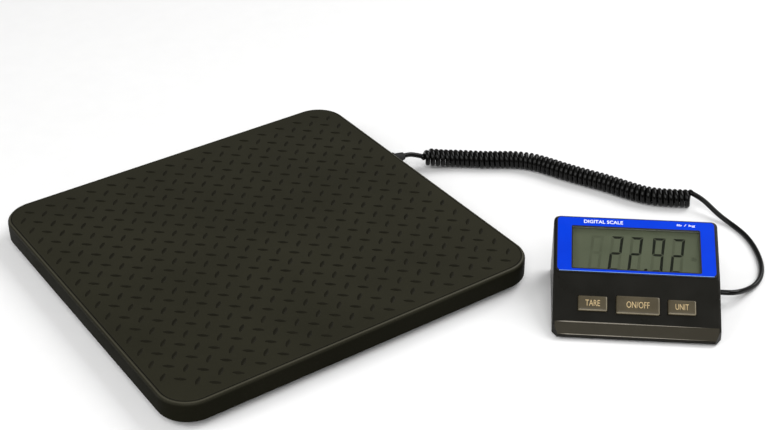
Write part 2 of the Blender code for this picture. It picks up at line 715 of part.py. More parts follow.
def build_battery():
    """Battery body lying across the bay, and the snap at its +X end."""
    length, depth, height = BATTERY
    end = length / 2
    y, z = BAY_Y + 0.4, BASE_Z + 2.4
    bm = box((-end, end - 4.0), (y, y + depth), (z, z + height))
    round_edges(bm, lambda e: abs(e.verts[0].co.x - e.verts[1].co.x) > 10, 1.8, 2)
    add_piece(bm, "battery_9v", "battery_case", display_frame, smooth=35)
    bm = box((end - 3.7, end + 0.2), (BAY_Y + 1.4, BAY_Y + 25), (BASE_Z + 4.4, BASE_Z + 17))
    add_piece(bm, "battery_snap", "snap_black", display_frame)


def build_jack():
    """DC jack in the rear wall."""
    inside = -WALL - GAP
    profile = [            # radius, distance rearwards from the rear wall's outer face
        (0.9, -10), (2.75, -10), (2.75, -0.4), (4.4, -0.4),
        (4.4, inside), (6.4, inside), (6.4, -12.5), (0.9, -12.5),
    ]
    bm = lathe(profile, 16, (JACK_X, REAR_Y, JACK_Z), "Y")
    add_piece(bm, "dc_jack", "snap_black", display_frame, smooth=35)


# ================================================================ display: label and keys
# name, material, face, half width, lower and upper edge up the slope, n from and to
PLATES = [
    ("window_pane", "lens_clear", "label", 48.4, 3.7, 42.8, -1.9, -0.2),
    ("lcd_cell", "lcd_glass", "label", 48.7, 3.7, 44.3, -6.4, -3.6),
    ("contact_strip", "zebra_pink", "label", 46, 4.1, 6.5, -8.9, -6.7),
    ("main_board", "board_green", "label", 50, 2.5, 43.5, -10.9, -9.3),
    ("key_board", "board_green", "keys", 46, KEY_ROW - 6, KEY_ROW + 13, -10.3, -8.7),
]


def build_plates():
    for name, material, face, half, *extent in PLATES:
        add_piece(face_box(face, 0, half, *extent), name, material, display_frame)


def build_label():
    """Label sheet with an open window."""
    low, high = 0.1, 0.5
    rings = [face_rect("label", *size, radius, n, 3) for size, radius, n in (
        (LABEL, 2.6, low), (LABEL, 2.6, high), (WINDOW, 0.8, high), (WINDOW, 0.8, low))]
    add_piece(loft(rings, close=True), "label_overlay", "label_blue", display_frame)


def build_lcd_holder():
    """Frame round the liquid-crystal cell, with a narrower opening in front of it."""
    outline = (100.6, 2.2, 45.8, 1.5)      # width, lower and upper edge, corner radius
    opening = (95.0, 4.6, 42.6, 0.8)
    pocket = (98.0, 3.4, 44.6, 0.8)
    rings = [face_rect("label", *shape, n, 2) for shape, n in (
        (outline, -2.5), (opening, -2.5), (opening, -3.3),
        (pocket, -3.3), (pocket, -7.4), (outline, -7.4))]
    add_piece(loft(rings, close=True), "lcd_holder", "holder_white", display_frame)


KEY_STATIONS = [           # n, growth of the outline on each side, corner radius
    (-3.6, 0.9, 0.6), (-2.5, 0.9, 0.6), (-2.5, 0.0, 0.9),
    (KEY_OUT - 0.7, 0.0, 0.9), (KEY_OUT - 0.1, -0.6, 0.7), (KEY_OUT, -1.2, 0.5),
]


def build_key(name, x, width, height):
    """Key with a lip under the case wall."""
    rings = []
    for n, grow, radius in KEY_STATIONS:
        reach = height / 2 + grow
        rings.append(face_rect("keys", width + 2 * grow, KEY_ROW - reach, KEY_ROW + reach,
                               radius, n, 2, x))
    add_piece(loft(rings), "key_" + name, "key_grey", display_frame,
              on("keys", x, KEY_ROW, 0), 30)


def build_switch(name, x):
    """Square switch with a round plunger below the key."""
    bm = face_box("keys", x, 3, KEY_ROW - 3, KEY_ROW + 3, -8.4, -5.6)
    switch = add_piece(bm, "switch_" + name, "switch_metal", display_frame)
    plunger = loft([[on("keys", x + a, KEY_ROW + b, n) for a, b in circle(1.7, 10)]
                    for n in (-6.5, -4.9)])
    combine(switch, plunger, "add_plunger_" + name, "UNION")


def build_keys():
    for name, (x, width, height) in KEYS.items():
        build_key(name, x, width, height)
        build_switch(name, x)


# ================================================================ display: bush, screws, pads
def build_display_bush():
    """Bush where the cord enters the side wall."""
    inside = -WALL - GAP
    profile = [            # radius, distance outwards from the side wall
        (2.25, -5.5), (5.4, -5.5), (5.4, inside), (3.6, inside),
        (3.6, 0.3), (3.1, 0.8), (2.25, 0.8),
    ]
    bm = lathe(profile, 20, (HALF, CORD_IN_Y, CORD_IN_Z), "X")
    add_piece(bm, "display_cord_bush", "rubber", display_frame, smooth=35)


# (radius, z) profiles
CASE_SCREW = [(0, 1.7), (2.6, 1.7), (2.6, 2.5), (1.3, 2.6), (1.3, 12.6), (0, 12.6)]
RUBBER_PAD = [(0, 0), (3.6, 0), (4.2, 0.4), (4.2, 1.4), (0, 1.4)]


def build_fixings():
    """Case screws and rubber pads below the display."""
    for prefix, profile, seg, material, places in (
            ("case_screw_", CASE_SCREW, 12, "screw_steel", POSTS),
            ("rubber_pad_", RUBBER_PAD, 16, "rubber", PADS)):
        for k, (x, y) in enumerate(places, 1):
            add_piece(lathe(profile, seg, (x, y, 0)), prefix + str(k), material,
                      display_frame, (x, y, profile[0][1]), 35)


build_cover()
build_pan()
build_corners()
build_junction_board()
build_platform_bush()
build_cord()
build_upper_case()
build_lower_case()
build_battery_door()
build_battery()
build_jack()
build_label()
build_plates()
build_lcd_holder()
build_keys()
build_display_bush()
build_fixings()
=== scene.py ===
# A weighing scale: a platform under a treaded black cover, a coiled cord, and a display case
# with two sloped faces (keys on the lower one, a label with its window on the upper one).
# The scene is in metres, +Z up, with its origin on the weighing surface. Sizes here are in mm,
# heights counted from the table. The display stands off the platform's +X -Y corner, turned.
import bisect
import json
import math
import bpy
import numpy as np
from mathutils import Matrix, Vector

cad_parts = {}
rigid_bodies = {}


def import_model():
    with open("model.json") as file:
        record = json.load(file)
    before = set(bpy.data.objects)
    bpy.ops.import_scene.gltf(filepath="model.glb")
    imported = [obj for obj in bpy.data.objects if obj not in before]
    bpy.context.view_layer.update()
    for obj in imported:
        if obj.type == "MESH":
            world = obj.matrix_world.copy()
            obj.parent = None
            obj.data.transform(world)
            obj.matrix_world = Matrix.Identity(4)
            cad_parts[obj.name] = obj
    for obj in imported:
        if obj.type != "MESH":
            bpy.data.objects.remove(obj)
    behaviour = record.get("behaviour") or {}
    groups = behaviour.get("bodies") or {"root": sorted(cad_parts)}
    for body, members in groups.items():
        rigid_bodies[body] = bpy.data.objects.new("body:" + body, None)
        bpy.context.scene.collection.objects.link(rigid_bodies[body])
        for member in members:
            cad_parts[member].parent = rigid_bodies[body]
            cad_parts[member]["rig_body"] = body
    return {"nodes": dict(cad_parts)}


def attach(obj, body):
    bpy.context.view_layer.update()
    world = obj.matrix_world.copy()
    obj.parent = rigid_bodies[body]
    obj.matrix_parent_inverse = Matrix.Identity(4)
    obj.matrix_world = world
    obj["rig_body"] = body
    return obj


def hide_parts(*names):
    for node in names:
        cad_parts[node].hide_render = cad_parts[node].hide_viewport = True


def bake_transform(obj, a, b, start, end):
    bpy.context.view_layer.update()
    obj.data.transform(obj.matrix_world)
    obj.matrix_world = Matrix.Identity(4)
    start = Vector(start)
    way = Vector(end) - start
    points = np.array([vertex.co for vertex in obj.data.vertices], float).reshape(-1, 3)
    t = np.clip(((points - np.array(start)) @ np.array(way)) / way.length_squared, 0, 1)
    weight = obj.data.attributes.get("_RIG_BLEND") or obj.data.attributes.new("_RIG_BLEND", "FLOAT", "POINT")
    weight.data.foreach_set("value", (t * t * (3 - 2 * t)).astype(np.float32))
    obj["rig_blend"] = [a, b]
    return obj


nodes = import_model()["nodes"]
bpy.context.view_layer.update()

import bmesh
import bpy
from mathutils import Matrix, Vector
from mathutils.geometry import delaunay_2d_cdt

scene = bpy.context.scene
scene.view_settings.view_transform = "Standard"
scene.view_settings.look = "None"

MM = 0.001
TABLE_Z = -23.0                    # the table, mm from the scene's origin

# ------------------------------------------------------------------ main sizes, shared with the CAD
DECK_X, DECK_Y, DECK_R = 310.0, 296.0, 25.0         # plan and corner radius of the cover
DECK_Z, SKIRT_Z, COVER_T = 23.0, 7.0, 1.2           # its top, lower edge and wall thickness
CORD_EXIT_Y, CORD_EXIT_Z = 45.0, 14.6               # where the cord leaves the platform
DISP_AT, DISP_TURN = (166.0, -246.0), math.radians(-39.6)
CASE_W = 121.6
STEP, CREASE, TOP = (9.1, 10.1), (41.2, 30.0), (88.2, 50.8)  # case profile: (depth, height)
CORD_R, COIL_R, COIL_PITCH = 1.9, 5.6, 4.25
COIL_Z = COIL_R + CORD_R + 0.1
CORD_IN_DEPTH, CORD_IN_Z = 54.0, 10.15              # where the cord enters the display


# ------------------------------------------------------------------ shader helpers
def add(tree, kind, inputs={}, **settings):
    """New node. An input given as a socket is linked, any other is set as a value."""
    new = tree.nodes.new(kind)
    for key, value in settings.items():
        setattr(new, key, value)
    for key, value in inputs.items():
        if isinstance(value, bpy.types.NodeSocket):
            tree.links.new(value, new.inputs[key])
        else:
            new.inputs[key].default_value = value
    return new


def rgba(colour):
    """Colour input from a socket, a grey level or an RGB triple."""
    if isinstance(colour, bpy.types.NodeSocket):
        return colour
    if isinstance(colour, float):
        return (colour, colour, colour, 1)
    return (*colour, 1)


def new_material(name):
    material = bpy.data.materials.new(name)
    material.use_nodes = True
    material.node_tree.nodes.clear()
    return material, material.node_tree


def noise(tree, place, scale, detail=4.0, roughness=0.55):
    inputs = {"Vector": place, "Scale": scale, "Detail": detail, "Roughness": roughness}
    return add(tree, "ShaderNodeTexNoise", inputs).outputs["Fac"]


def calc(tree, operation, *values):
    return add(tree, "ShaderNodeMath", dict(enumerate(values)), operation=operation).outputs[0]


def ramp(tree, value, start, end, low=0.0, high=1.0):
    """Maps start..end to low..high."""
    inputs = dict(enumerate((value, start, end, low, high)))
    return add(tree, "ShaderNodeMapRange", inputs).outputs[0]


def mix(tree, share, first, second):
    inputs = {0: share, 6: rgba(first), 7: rgba(second)}
    return add(tree, "ShaderNodeMix", inputs, data_type="RGBA").outputs[2]


def bevel(tree, radius):
    return add(tree, "ShaderNodeBevel", {"Radius": radius * MM}, samples=4).outputs[0]


def bump(tree, height, distance, normal=None):
    inputs = {"Strength": 1.0, "Distance": distance * MM, "Height": height}
    if normal is not None:
        inputs["Normal"] = normal
    return add(tree, "ShaderNodeBump", inputs).outputs[0]


def lighten_edges_wear_and_highlight(tree, place, colour, tone, radius, amount):
    """Edges drawn lighter, from how far the rounded normal turns from the true one: partly wear, partly a
    painted highlight.
    """
    rounded = bevel(tree, radius)
    true = add(tree, "ShaderNodeNewGeometry").outputs["Normal"]
    dot = add(tree, "ShaderNodeVectorMath", {0: rounded, 1: true}, operation="DOT_PRODUCT")
    # share of each edge drawn lighter: wear and painted highlight
    lightened_edge = ramp(tree, dot.outputs["Value"], 0.995, 0.86, 0.0, amount)
    patchy = calc(tree, "MULTIPLY", lightened_edge, noise(tree, place, 240.0, 3.0))
    return mix(tree, patchy, colour, tone)


def paint_wall_shade_and_crest_highlight(tree, normal, colour, spec, shine, kept, crest_highlight_tone, crest_highlight_amount):
    """Upright walls are darker and shine less than the top, a painted shade; the rolled crest is drawn
    lighter, a painted highlight.
    Returns the colour and the specular level."""
    slope = add(tree, "ShaderNodeSeparateXYZ", {0: normal}).outputs[2]
    level = ramp(tree, slope, 0.10, 0.55, spec * shine, spec)
    # painted shade: walls darkened the more upright they stand
    shade = ramp(tree, slope, 0.10, 0.80, 1.0 - kept, 0.0)
    colour = mix(tree, shade, colour, 0.0)
    # painted highlight: the rolled crest between top and wall drawn lighter
    below_top = ramp(tree, slope, 0.996, 0.975)
    above_wall = ramp(tree, slope, 0.93, 0.80, crest_highlight_amount, 0.0)
    crest = calc(tree, "MULTIPLY", below_top, above_wall)
    return mix(tree, crest, colour, crest_highlight_tone), level


def surface(name, dark, light, rough, grain, blotch=18.0, wave=None, metal=0.0, spec=0.5,
            tint=1.0, coat=0.0, stretch=None, speck=None, edge=None, round_mm=0.0, walls=None):
    """Material in object space, drifting between two tones with a finely raised surface.

    rough: least and most roughness; blotch: noise scale of the drift; stretch: its scale per axis
    grain, wave: (noise scale, height in mm) of the fine and the broad relief
    speck: (tone, noise threshold, noise scale); edge: (tone, radius in mm, amount) of edges drawn lighter,
    partly wear and partly painted highlight
    round_mm: radius that softens edges in the shading; walls: settings of the painted shade on upright walls
    and the painted highlight on the crest
    """
    material, tree = new_material(name)
    coords = add(tree, "ShaderNodeTexCoord")
    place = coords.outputs["Object"]
    if stretch:
        place = add(tree, "ShaderNodeMapping", {"Vector": place, "Scale": stretch}).outputs[0]
    broad = noise(tree, place, blotch)
    fine = noise(tree, place, grain[0], 2.0)
    drift = calc(tree, "MULTIPLY_ADD", broad, 0.65, 0.0)
    drift = calc(tree, "MULTIPLY_ADD", fine, 0.35, drift)
    colour = mix(tree, ramp(tree, drift, 0.32, 0.68), dark, light)
    if speck:
        tone, threshold, scale = speck
        spots = noise(tree, place, scale, 1.0, 0.5)
        colour = mix(tree, ramp(tree, spots, threshold, threshold + 0.04), colour, tone)
    # edges drawn lighter: wear and painted highlight
    if edge:
        colour = lighten_edges_wear_and_highlight(tree, place, colour, *edge)
    roughness = ramp(tree, noise(tree, place, blotch * 2.3), 0.3, 0.7, *rough)
    normal = bump(tree, fine, grain[1], bevel(tree, round_mm) if round_mm else None)
    if wave:
        normal = bump(tree, noise(tree, place, wave[0], 2.0), wave[1], normal)
    shader = add(tree, "ShaderNodeBsdfPrincipled", {
        "Roughness": roughness, "Normal": normal, "Metallic": metal, "IOR": 1.45,
        "Specular IOR Level": spec, "Specular Tint": rgba(tint),
        "Coat Weight": coat, "Coat Roughness": 0.12})
    if walls:
        # painted shade on upright walls, painted highlight on the rolled crest
        colour, level = paint_wall_shade_and_crest_highlight(tree, coords.outputs["Normal"], colour, spec, **walls)
        tree.links.new(level, shader.inputs["Specular IOR Level"])
    tree.links.new(colour, shader.inputs["Base Color"])
    add(tree, "ShaderNodeOutputMaterial", {0: shader.outputs[0]})
    return material


def pane_material():
    """Thin clear acrylic: mostly see-through, a faint reflection, haze that varies."""
    material, tree = new_material("pane_clear_acrylic")
    place = add(tree, "ShaderNodeTexCoord").outputs["Object"]
    haze = noise(tree, place, 45.0, 3.0, 0.5)
    tint = mix(tree, haze, (0.93, 0.95, 0.93), (0.97, 0.98, 0.96))
    clear = add(tree, "ShaderNodeBsdfTransparent", {0: tint})
    gloss = add(tree, "ShaderNodeBsdfGlossy", {
        "Roughness": ramp(tree, haze, 0.3, 0.7, 0.05, 0.12), "Normal": bump(tree, haze, 0.01)})
    facing = add(tree, "ShaderNodeFresnel", {"IOR": 1.2})
    both = {0: facing.outputs[0], 1: clear.outputs[0], 2: gloss.outputs[0]}
    shader = add(tree, "ShaderNodeMixShader", both)
    add(tree, "ShaderNodeOutputMaterial", {0: shader.outputs[0]})
    return material


# ------------------------------------------------------------------ materials
LOOK = dict(
    deck=surface(
        "deck_powder_coat", dark=(0.0138, 0.0133, 0.0078), light=(0.0205, 0.0196, 0.0118),
        rough=(0.36, 0.50), blotch=9, grain=(1500, 0.045), wave=(28, 0.20), spec=0.095,
        # edge: edges drawn lighter, wear and a painted highlight on the rolled edge
        speck=((0.034, 0.032, 0.021), 0.70, 1300), edge=((0.055, 0.051, 0.040), 0.9, 0.4),
        tint=(1.0, 0.96, 0.84),
        # walls: painted shade on the skirt, painted highlight on the rolled crest
        walls=dict(shine=0.12, kept=0.46, crest_highlight_tone=(0.070, 0.066, 0.048), crest_highlight_amount=0.62)),
    # lugs in a darker copy of the deck coat: painted shade on their slopes
    lug=surface(
        "deck_lug_painted_shade", dark=(0.0072, 0.0068, 0.0041), light=(0.0112, 0.0105, 0.0064),
        rough=(0.40, 0.55), blotch=60, grain=(1500, 0.030), spec=0.05, tint=(1.0, 0.96, 0.84)),
    pan=surface(
        "pan_black_steel", dark=0.016, light=(0.034, 0.034, 0.033), rough=(0.45, 0.62),
        # edges drawn lighter: wear and painted highlight
        metal=0.25, blotch=14, grain=(1100, 0.03), wave=(20, 0.3), edge=(0.12, 0.5, 0.5)),
    foot=surface(
        "foot_plastic_black", dark=0.012, light=0.022, rough=(0.45, 0.6), grain=(1400, 0.03)),
    rubber=surface(
        "rubber_black", dark=0.010, light=(0.020, 0.0195, 0.019), rough=(0.7, 0.9),
        grain=(1800, 0.05), spec=0.3),
    steel=surface(
        "cell_steel", dark=(0.40, 0.41, 0.43), light=(0.60, 0.61, 0.63), rough=(0.25, 0.42),
        metal=1.0, blotch=60, grain=(600, 0.008), stretch=(1, 14, 1)),
    bracket=surface(
        "bracket_plastic", dark=(0.035, 0.035, 0.036), light=(0.060, 0.060, 0.061),
        rough=(0.4, 0.6), grain=(1200, 0.03)),
    board=surface(
        "board_green", dark=(0.006, 0.085, 0.035), light=(0.014, 0.15, 0.06), rough=(0.3, 0.5),
        blotch=50, grain=(700, 0.02), coat=0.3),
    lead=surface(
        "lead_jacket_grey", dark=0.18, light=(0.28, 0.28, 0.27), rough=(0.45, 0.6),
        grain=(1500, 0.02)),
    screw=surface(
        "screw_steel", dark=(0.42, 0.42, 0.41), light=(0.66, 0.66, 0.64), rough=(0.22, 0.4),
        metal=1.0, blotch=200, grain=(1200, 0.006)),
    cord=surface(
        "cord_jacket_black", dark=(0.0022, 0.0022, 0.0020), light=(0.0042, 0.0041, 0.0037),
        rough=(0.13, 0.22), blotch=70, grain=(1600, 0.010), spec=0.19),
    case=surface(
        "case_black_abs", dark=(0.0058, 0.0056, 0.0044), light=(0.0094, 0.0091, 0.0074),
        rough=(0.26, 0.38), blotch=22, grain=(2400, 0.020), wave=(70, 0.05), spec=0.16,
        # edges drawn lighter: wear and painted highlight
        edge=((0.05, 0.048, 0.042), 0.6, 0.45), round_mm=0.45, tint=(1.0, 0.97, 0.90)),
    # lighter copy of the case plastic on the front lip: painted sheen
    lip=surface(
        "case_lip_painted_sheen", dark=(0.0160, 0.0137, 0.0082), light=(0.0245, 0.0211, 0.0130),
        rough=(0.30, 0.45), blotch=30, grain=(2000, 0.025), wave=(60, 0.08), spec=0.19,
        tint=(1.0, 0.95, 0.84)),
    # light tone on the beads: painted highlight lines
    bead=surface(
        "case_bead_painted_highlight", dark=(0.13, 0.118, 0.092), light=(0.26, 0.235, 0.19),
        rough=(0.2, 0.32), blotch=60, grain=(1500, 0.01)),
    film=surface(
        "label_film_black", dark=(0.006, 0.006, 0.007), light=(0.011, 0.011, 0.012),
        rough=(0.25, 0.36), grain=(1500, 0.006)),
    blue=surface(
        "label_print_blue", dark=(0.0007, 0.031, 0.50), light=(0.0014, 0.043, 0.61),
        rough=(0.28, 0.40), blotch=26, grain=(1900, 0.006), wave=(50, 0.03), spec=0.07),
    # light-blue strip at the label's foot: painted highlight
    blue_line=surface(
        "label_line_painted_highlight", dark=(0.10, 0.26, 0.80), light=(0.22, 0.40, 0.90),
        rough=(0.3, 0.4), blotch=60, grain=(1500, 0.004)),
    white_ink=surface(
        "label_print_white", dark=(0.78, 0.80, 0.84), light=(0.88, 0.90, 0.93),
        rough=(0.35, 0.5), blotch=200, grain=(2000, 0.004)),
    holder=surface(
        "holder_white_plastic", dark=(0.60, 0.60, 0.57), light=(0.72, 0.72, 0.69),
        rough=(0.4, 0.6), grain=(1200, 0.02)),
    lcd=surface(
        "lcd_grey_green", dark=(0.104, 0.113, 0.076), light=(0.142, 0.152, 0.105),
        rough=(0.30, 0.42), blotch=24, grain=(2600, 0.003), spec=0.12,
        speck=((0.122, 0.131, 0.091), 0.66, 2600)),
    lcd_on=surface(
        "lcd_segment_dark", dark=(0.0090, 0.0100, 0.0065), light=(0.0150, 0.0160, 0.0110),
        rough=(0.30, 0.42), blotch=90, grain=(2600, 0.002), spec=0.12),
    lcd_off=surface(
        "lcd_segment_faint", dark=(0.088, 0.095, 0.064), light=(0.112, 0.121, 0.083),
        rough=(0.30, 0.42), blotch=90, grain=(2600, 0.002), spec=0.12),
    lcd_mid=surface(
        "lcd_mark_dim", dark=(0.040, 0.044, 0.029), light=(0.055, 0.060, 0.041),
        rough=(0.30, 0.42), blotch=90, grain=(2600, 0.002), spec=0.12),
    contact=surface(
        "contact_rubber_pink", dark=(0.42, 0.22, 0.22), light=(0.60, 0.36, 0.36),
        rough=(0.6, 0.8), blotch=300, grain=(1200, 0.03), stretch=(6, 1, 1)),
    key=surface(
        "key_warm_grey", dark=(0.046, 0.037, 0.020), light=(0.070, 0.056, 0.031),
        rough=(0.34, 0.48), blotch=60, grain=(2200, 0.018), spec=0.26,
        # edges drawn lighter: wear and painted highlight
        edge=((0.34, 0.29, 0.19), 0.5, 1.0), round_mm=0.3),
    # lighter rim on the keys' lower and right sides: painted highlight
    key_rim=surface(
        "key_rim_painted_highlight", dark=(0.15, 0.128, 0.085), light=(0.26, 0.225, 0.155),
        rough=(0.25, 0.40), blotch=120, grain=(2200, 0.012), spec=0.45, round_mm=0.25),
    legend=surface(
        "key_print_tan", dark=(0.42, 0.31, 0.16), light=(0.54, 0.41, 0.22), rough=(0.45, 0.6),
        blotch=200, grain=(2000, 0.004), spec=0.2),
    switch=surface(
        "switch_metal", dark=(0.34, 0.34, 0.32), light=(0.50, 0.50, 0.47), rough=(0.3, 0.5),
        metal=0.8, blotch=200, grain=(1400, 0.008)),
    battery=surface(
        "battery_case_dull_gold", dark=(0.26, 0.21, 0.07), light=(0.38, 0.31, 0.12),
        rough=(0.28, 0.45), metal=0.6, blotch=60, grain=(900, 0.01)),
    battery_dark=surface(
        "battery_case_black", dark=0.010, light=0.018, rough=(0.25, 0.4), blotch=60,
        grain=(900, 0.01)),
    snap=surface(
        "snap_black_plastic", dark=0.014, light=(0.024, 0.024, 0.023), rough=(0.4, 0.6),
        grain=(1500, 0.03)),
    # darker tone in the groove round the deck: painted shade
    groove=surface(
        "groove_painted_shade", dark=(0.004, 0.004, 0.0035), light=(0.007, 0.007, 0.006),
        rough=(0.6, 0.8), grain=(1500, 0.03), spec=0.2),
    pane=pane_material(),
)


# ------------------------------------------------------------------ mesh helpers
def to_row(point):
    """Millimetres above the table to scene metres."""
    return Vector((point[0] * MM, point[1] * MM, (point[2] + TABLE_Z) * MM))


def from_row(point):
    return Vector((point.x / MM, point.y / MM, point.z / MM - TABLE_Z))


def angles(count):
    return [2 * math.pi * k / count for k in range(count)]


def add_object(name, data):
    ob = bpy.data.objects.new(name, data)
    scene.collection.objects.link(ob)
    return ob


def bake_mesh(bm, name):
    """Mesh in scene metres from a bmesh in millimetres."""
    bmesh.ops.recalc_face_normals(bm, faces=bm.faces[:])
    for vert in bm.verts:
        vert.co = to_row(vert.co)
    mesh = bpy.data.meshes.new(name)
    bm.to_mesh(mesh)
    bm.free()
    return mesh


def evaluated_mesh(ob):
    bpy.context.view_layer.update()
    graph = bpy.context.evaluated_depsgraph_get()
    return bpy.data.meshes.new_from_object(ob.evaluated_get(graph))


def finish_mesh(mesh, materials, sharp):
    for material in materials:
        mesh.materials.append(material)
    mesh.shade_smooth()
    mesh.set_sharp_from_angle(angle=math.radians(sharp))


def make(bm, name, looks, body=None, sharp=35):
    ob = add_object(name, bake_mesh(bm, name))
    finish_mesh(ob.data, [LOOK[look] for look in looks.split()], sharp)
    if body:
        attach(ob, body)
    return ob


def hand_over(replaced):
    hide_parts(replaced)


def loft(bm, rings, closed=False):
    """Skin over rings of points: capped at both ends, or joined last to first."""
    loops = [[bm.verts.new(p) for p in ring] for ring in rings]
    pairs = list(zip(loops, loops[1:]))
    if closed:
        pairs.append((loops[-1], loops[0]))
    count = len(loops[0])
    for a, b in pairs:
        for i in range(count):
            j = (i + 1) % count
            bm.faces.new((a[i], a[j], b[j], b[i]))
    if not closed:
        bm.faces.new(loops[0])
        bm.faces.new(list(reversed(loops[-1])))


def rounded_rect(width, depth, radius, steps=6, inset=0.0, centre=(0.0, 0.0)):
    half_x, half_y, r = width / 2 - inset, depth / 2 - inset, max(radius - inset, 0.05)
    points = []
    for side_x, side_y, start in ((1, 1, 0), (-1, 1, 90), (-1, -1, 180), (1, -1, 270)):
        for k in range(steps + 1):
            a = math.radians(start + 90 * k / steps)
            points.append((centre[0] + side_x * (half_x - r) + r * math.cos(a),
                           centre[1] + side_y * (half_y - r) + r * math.sin(a)))
    return points


def bspline(controls, count):
    """Cubic B-spline that starts and ends on its end controls, as count + 1 points."""
    c = [Vector(p) for p in controls]
    c = [2 * c[0] - c[1]] + c + [2 * c[-1] - c[-2]]
    points, spans = [], len(c) - 3
    for k in range(count + 1):
        u = spans * k / count
        i = min(int(u), spans - 1)
        t = u - i
        weights = ((1 - t) ** 3 / 6, (3 * t ** 3 - 6 * t ** 2 + 4) / 6,
                   (-3 * t ** 3 + 3 * t ** 2 + 3 * t + 1) / 6, t ** 3 / 6)
        points.append(sum((w * c[i + j] for j, w in enumerate(weights)), Vector()))
    return points


def run_lengths(points):
    """Distance along a polyline at each of its points."""
    runs = [0.0]
    for a, b in zip(points, points[1:]):
        runs.append(runs[-1] + (b - a).length)
    return runs


def resample(points, step):
    """Evenly spaced points along a polyline, and its length."""
    runs = run_lengths(points)
    count = max(2, round(runs[-1] / step))
    even, i = [], 0
    for k in range(count + 1):
        want = runs[-1] * k / count
        while i < len(points) - 2 and runs[i + 1] < want:
            i += 1
        share = (want - runs[i]) / max(runs[i + 1] - runs[i], 1e-9)
        even.append(points[i].lerp(points[i + 1], min(max(share, 0.0), 1.0)))
    return even, runs[-1]


def cut_with(ob, bm):
    """Exact difference, baked into the mesh."""
    cutter = add_object("cut", bake_mesh(bm, "cut"))
    cut = ob.modifiers.new("cut", "BOOLEAN")
    cut.operation, cut.solver, cut.object = "DIFFERENCE", "EXACT", cutter
    mesh = evaluated_mesh(ob)
    ob.modifiers.clear()
    ob.data = mesh
    bpy.data.objects.remove(cutter)


# ------------------------------------------------------------------ platform cover
PITCH_X, PITCH_Y = 8.915, 8.375             # tread cells
TREAD_X, TREAD_Y = -0.7, -135.5             # centre of cell (0, 0)
GROOVE = 2.9                                # inset of the line round the deck
FIELD_INSET = GROOVE + 3.2
CORNER_STEPS = 14
LUG_SIDES = 14
LUG_RINGS = ((4.45, 1.70, 0.0), (4.0, 1.34, 0.24),       # half length, half width, height
             (3.45, 0.95, 0.42), (2.6, 0.5, 0.50))
EDGE_R = 2.6                                # rolled edge
COVER_SHARP = 24
# (inset from the outer wall, height): the groove, the rolled edge, the skirt and the inside
RIM = [(GROOVE + 0.45, DECK_Z - 0.35), (GROOVE + 0.30, DECK_Z - 0.62),
       (GROOVE + 0.05, DECK_Z - 0.62), (GROOVE - 0.10, DECK_Z - 0.30),
       (GROOVE - 0.22, DECK_Z - 0.06)]
RIM += [(EDGE_R * (1 - math.sin(math.radians(a))), DECK_Z - EDGE_R * (1 - math.cos(math.radians(a))))
        for a in (4, 15, 27, 39, 51, 63, 75, 90)]
RIM += [(0.0, 15.0), (0.0, SKIRT_Z + 0.5), (0.3, SKIRT_Z), (COVER_T - 0.3, SKIRT_Z),
        (COVER_T, SKIRT_Z + 0.5), (COVER_T, DECK_Z - 3.2), (COVER_T + 0.6, DECK_Z - 1.8),
        (COVER_T + 2.2, DECK_Z - 1.2)]
CORD_HOLE_R = 3.9


def lug_ring(x, y, turn, half, wide, z):
    """Lens outline, pointed ends softened."""
    points = []
    for a in angles(LUG_SIDES):
        along = half * math.cos(a)
        aside = wide * math.sin(a) * (1 - 0.32 * abs(math.cos(a)))
        points.append((x + math.cos(turn) * along - math.sin(turn) * aside,
                       y + math.sin(turn) * along + math.cos(turn) * aside, z))
    return points


def in_plan(x, y, inset):
    half_x, half_y, r = DECK_X / 2 - inset, DECK_Y / 2 - inset, DECK_R - inset
    dx, dy = max(abs(x) - (half_x - r), 0), max(abs(y) - (half_y - r), 0)
    return math.hypot(dx, dy) <= r and abs(x) <= half_x and abs(y) <= half_y


def tread_cells():
    """Centres of the cells that lie wholly in the tread field, by column and row."""
    cells = {}
    for i in range(-16, 17):
        for j in range(33):
            x, y = TREAD_X + PITCH_X * i, TREAD_Y + PITCH_Y * j
            if all(in_plan(x + sx * (PITCH_X / 2), y + sy * (PITCH_Y / 2), FIELD_INSET)
                   for sx in (-1, 1) for sy in (-1, 1)):
                cells[i, j] = (x, y)
    return cells


def add_lug(bm, corners, x, y, turn):
    """Raised lug, and the flat of its cell stitched from the lug's foot to the corners."""
    loops = [[bm.verts.new(p) for p in lug_ring(x, y, turn, half, wide, DECK_Z + z)]
             for half, wide, z in LUG_RINGS]
    for a, b in zip(loops, loops[1:]):
        for k in range(LUG_SIDES):
            j = (k + 1) % LUG_SIDES
            bm.faces.new((a[k], a[j], b[j], b[k])).material_index = 2
    bm.faces.new(loops[-1]).material_index = 2
    foot = loops[0]
    near = [min(range(4), key=lambda q: (corners[q].co - v.co).length) for v in foot]
    for k in range(LUG_SIDES):
        j = (k + 1) % LUG_SIDES
        p = near[k]
        bm.faces.new((foot[j], foot[k], corners[p]))
        while p != near[j]:
            following = (p + 1) % 4
            bm.faces.new((foot[j], corners[p], corners[following]))
            p = following


def add_tread(bm, cells):
    """Flat and lugged cells in turn. Returns the grid's vertices, each at a cell's low corner."""
    grid = {}

    def corner(i, j):
        if (i, j) not in grid:
            grid[i, j] = bm.verts.new((TREAD_X + PITCH_X * (i - 0.5),
                                       TREAD_Y + PITCH_Y * (j - 0.5), DECK_Z))
        return grid[i, j]

    for (i, j), (x, y) in cells.items():
        corners = [corner(i, j), corner(i + 1, j), corner(i + 1, j + 1), corner(i, j + 1)]
        if (i + j) % 2 == 0:
            bm.faces.new(corners)
        else:
            add_lug(bm, corners, x, y, math.radians(-43 if j % 2 == 0 else 43))
    return grid


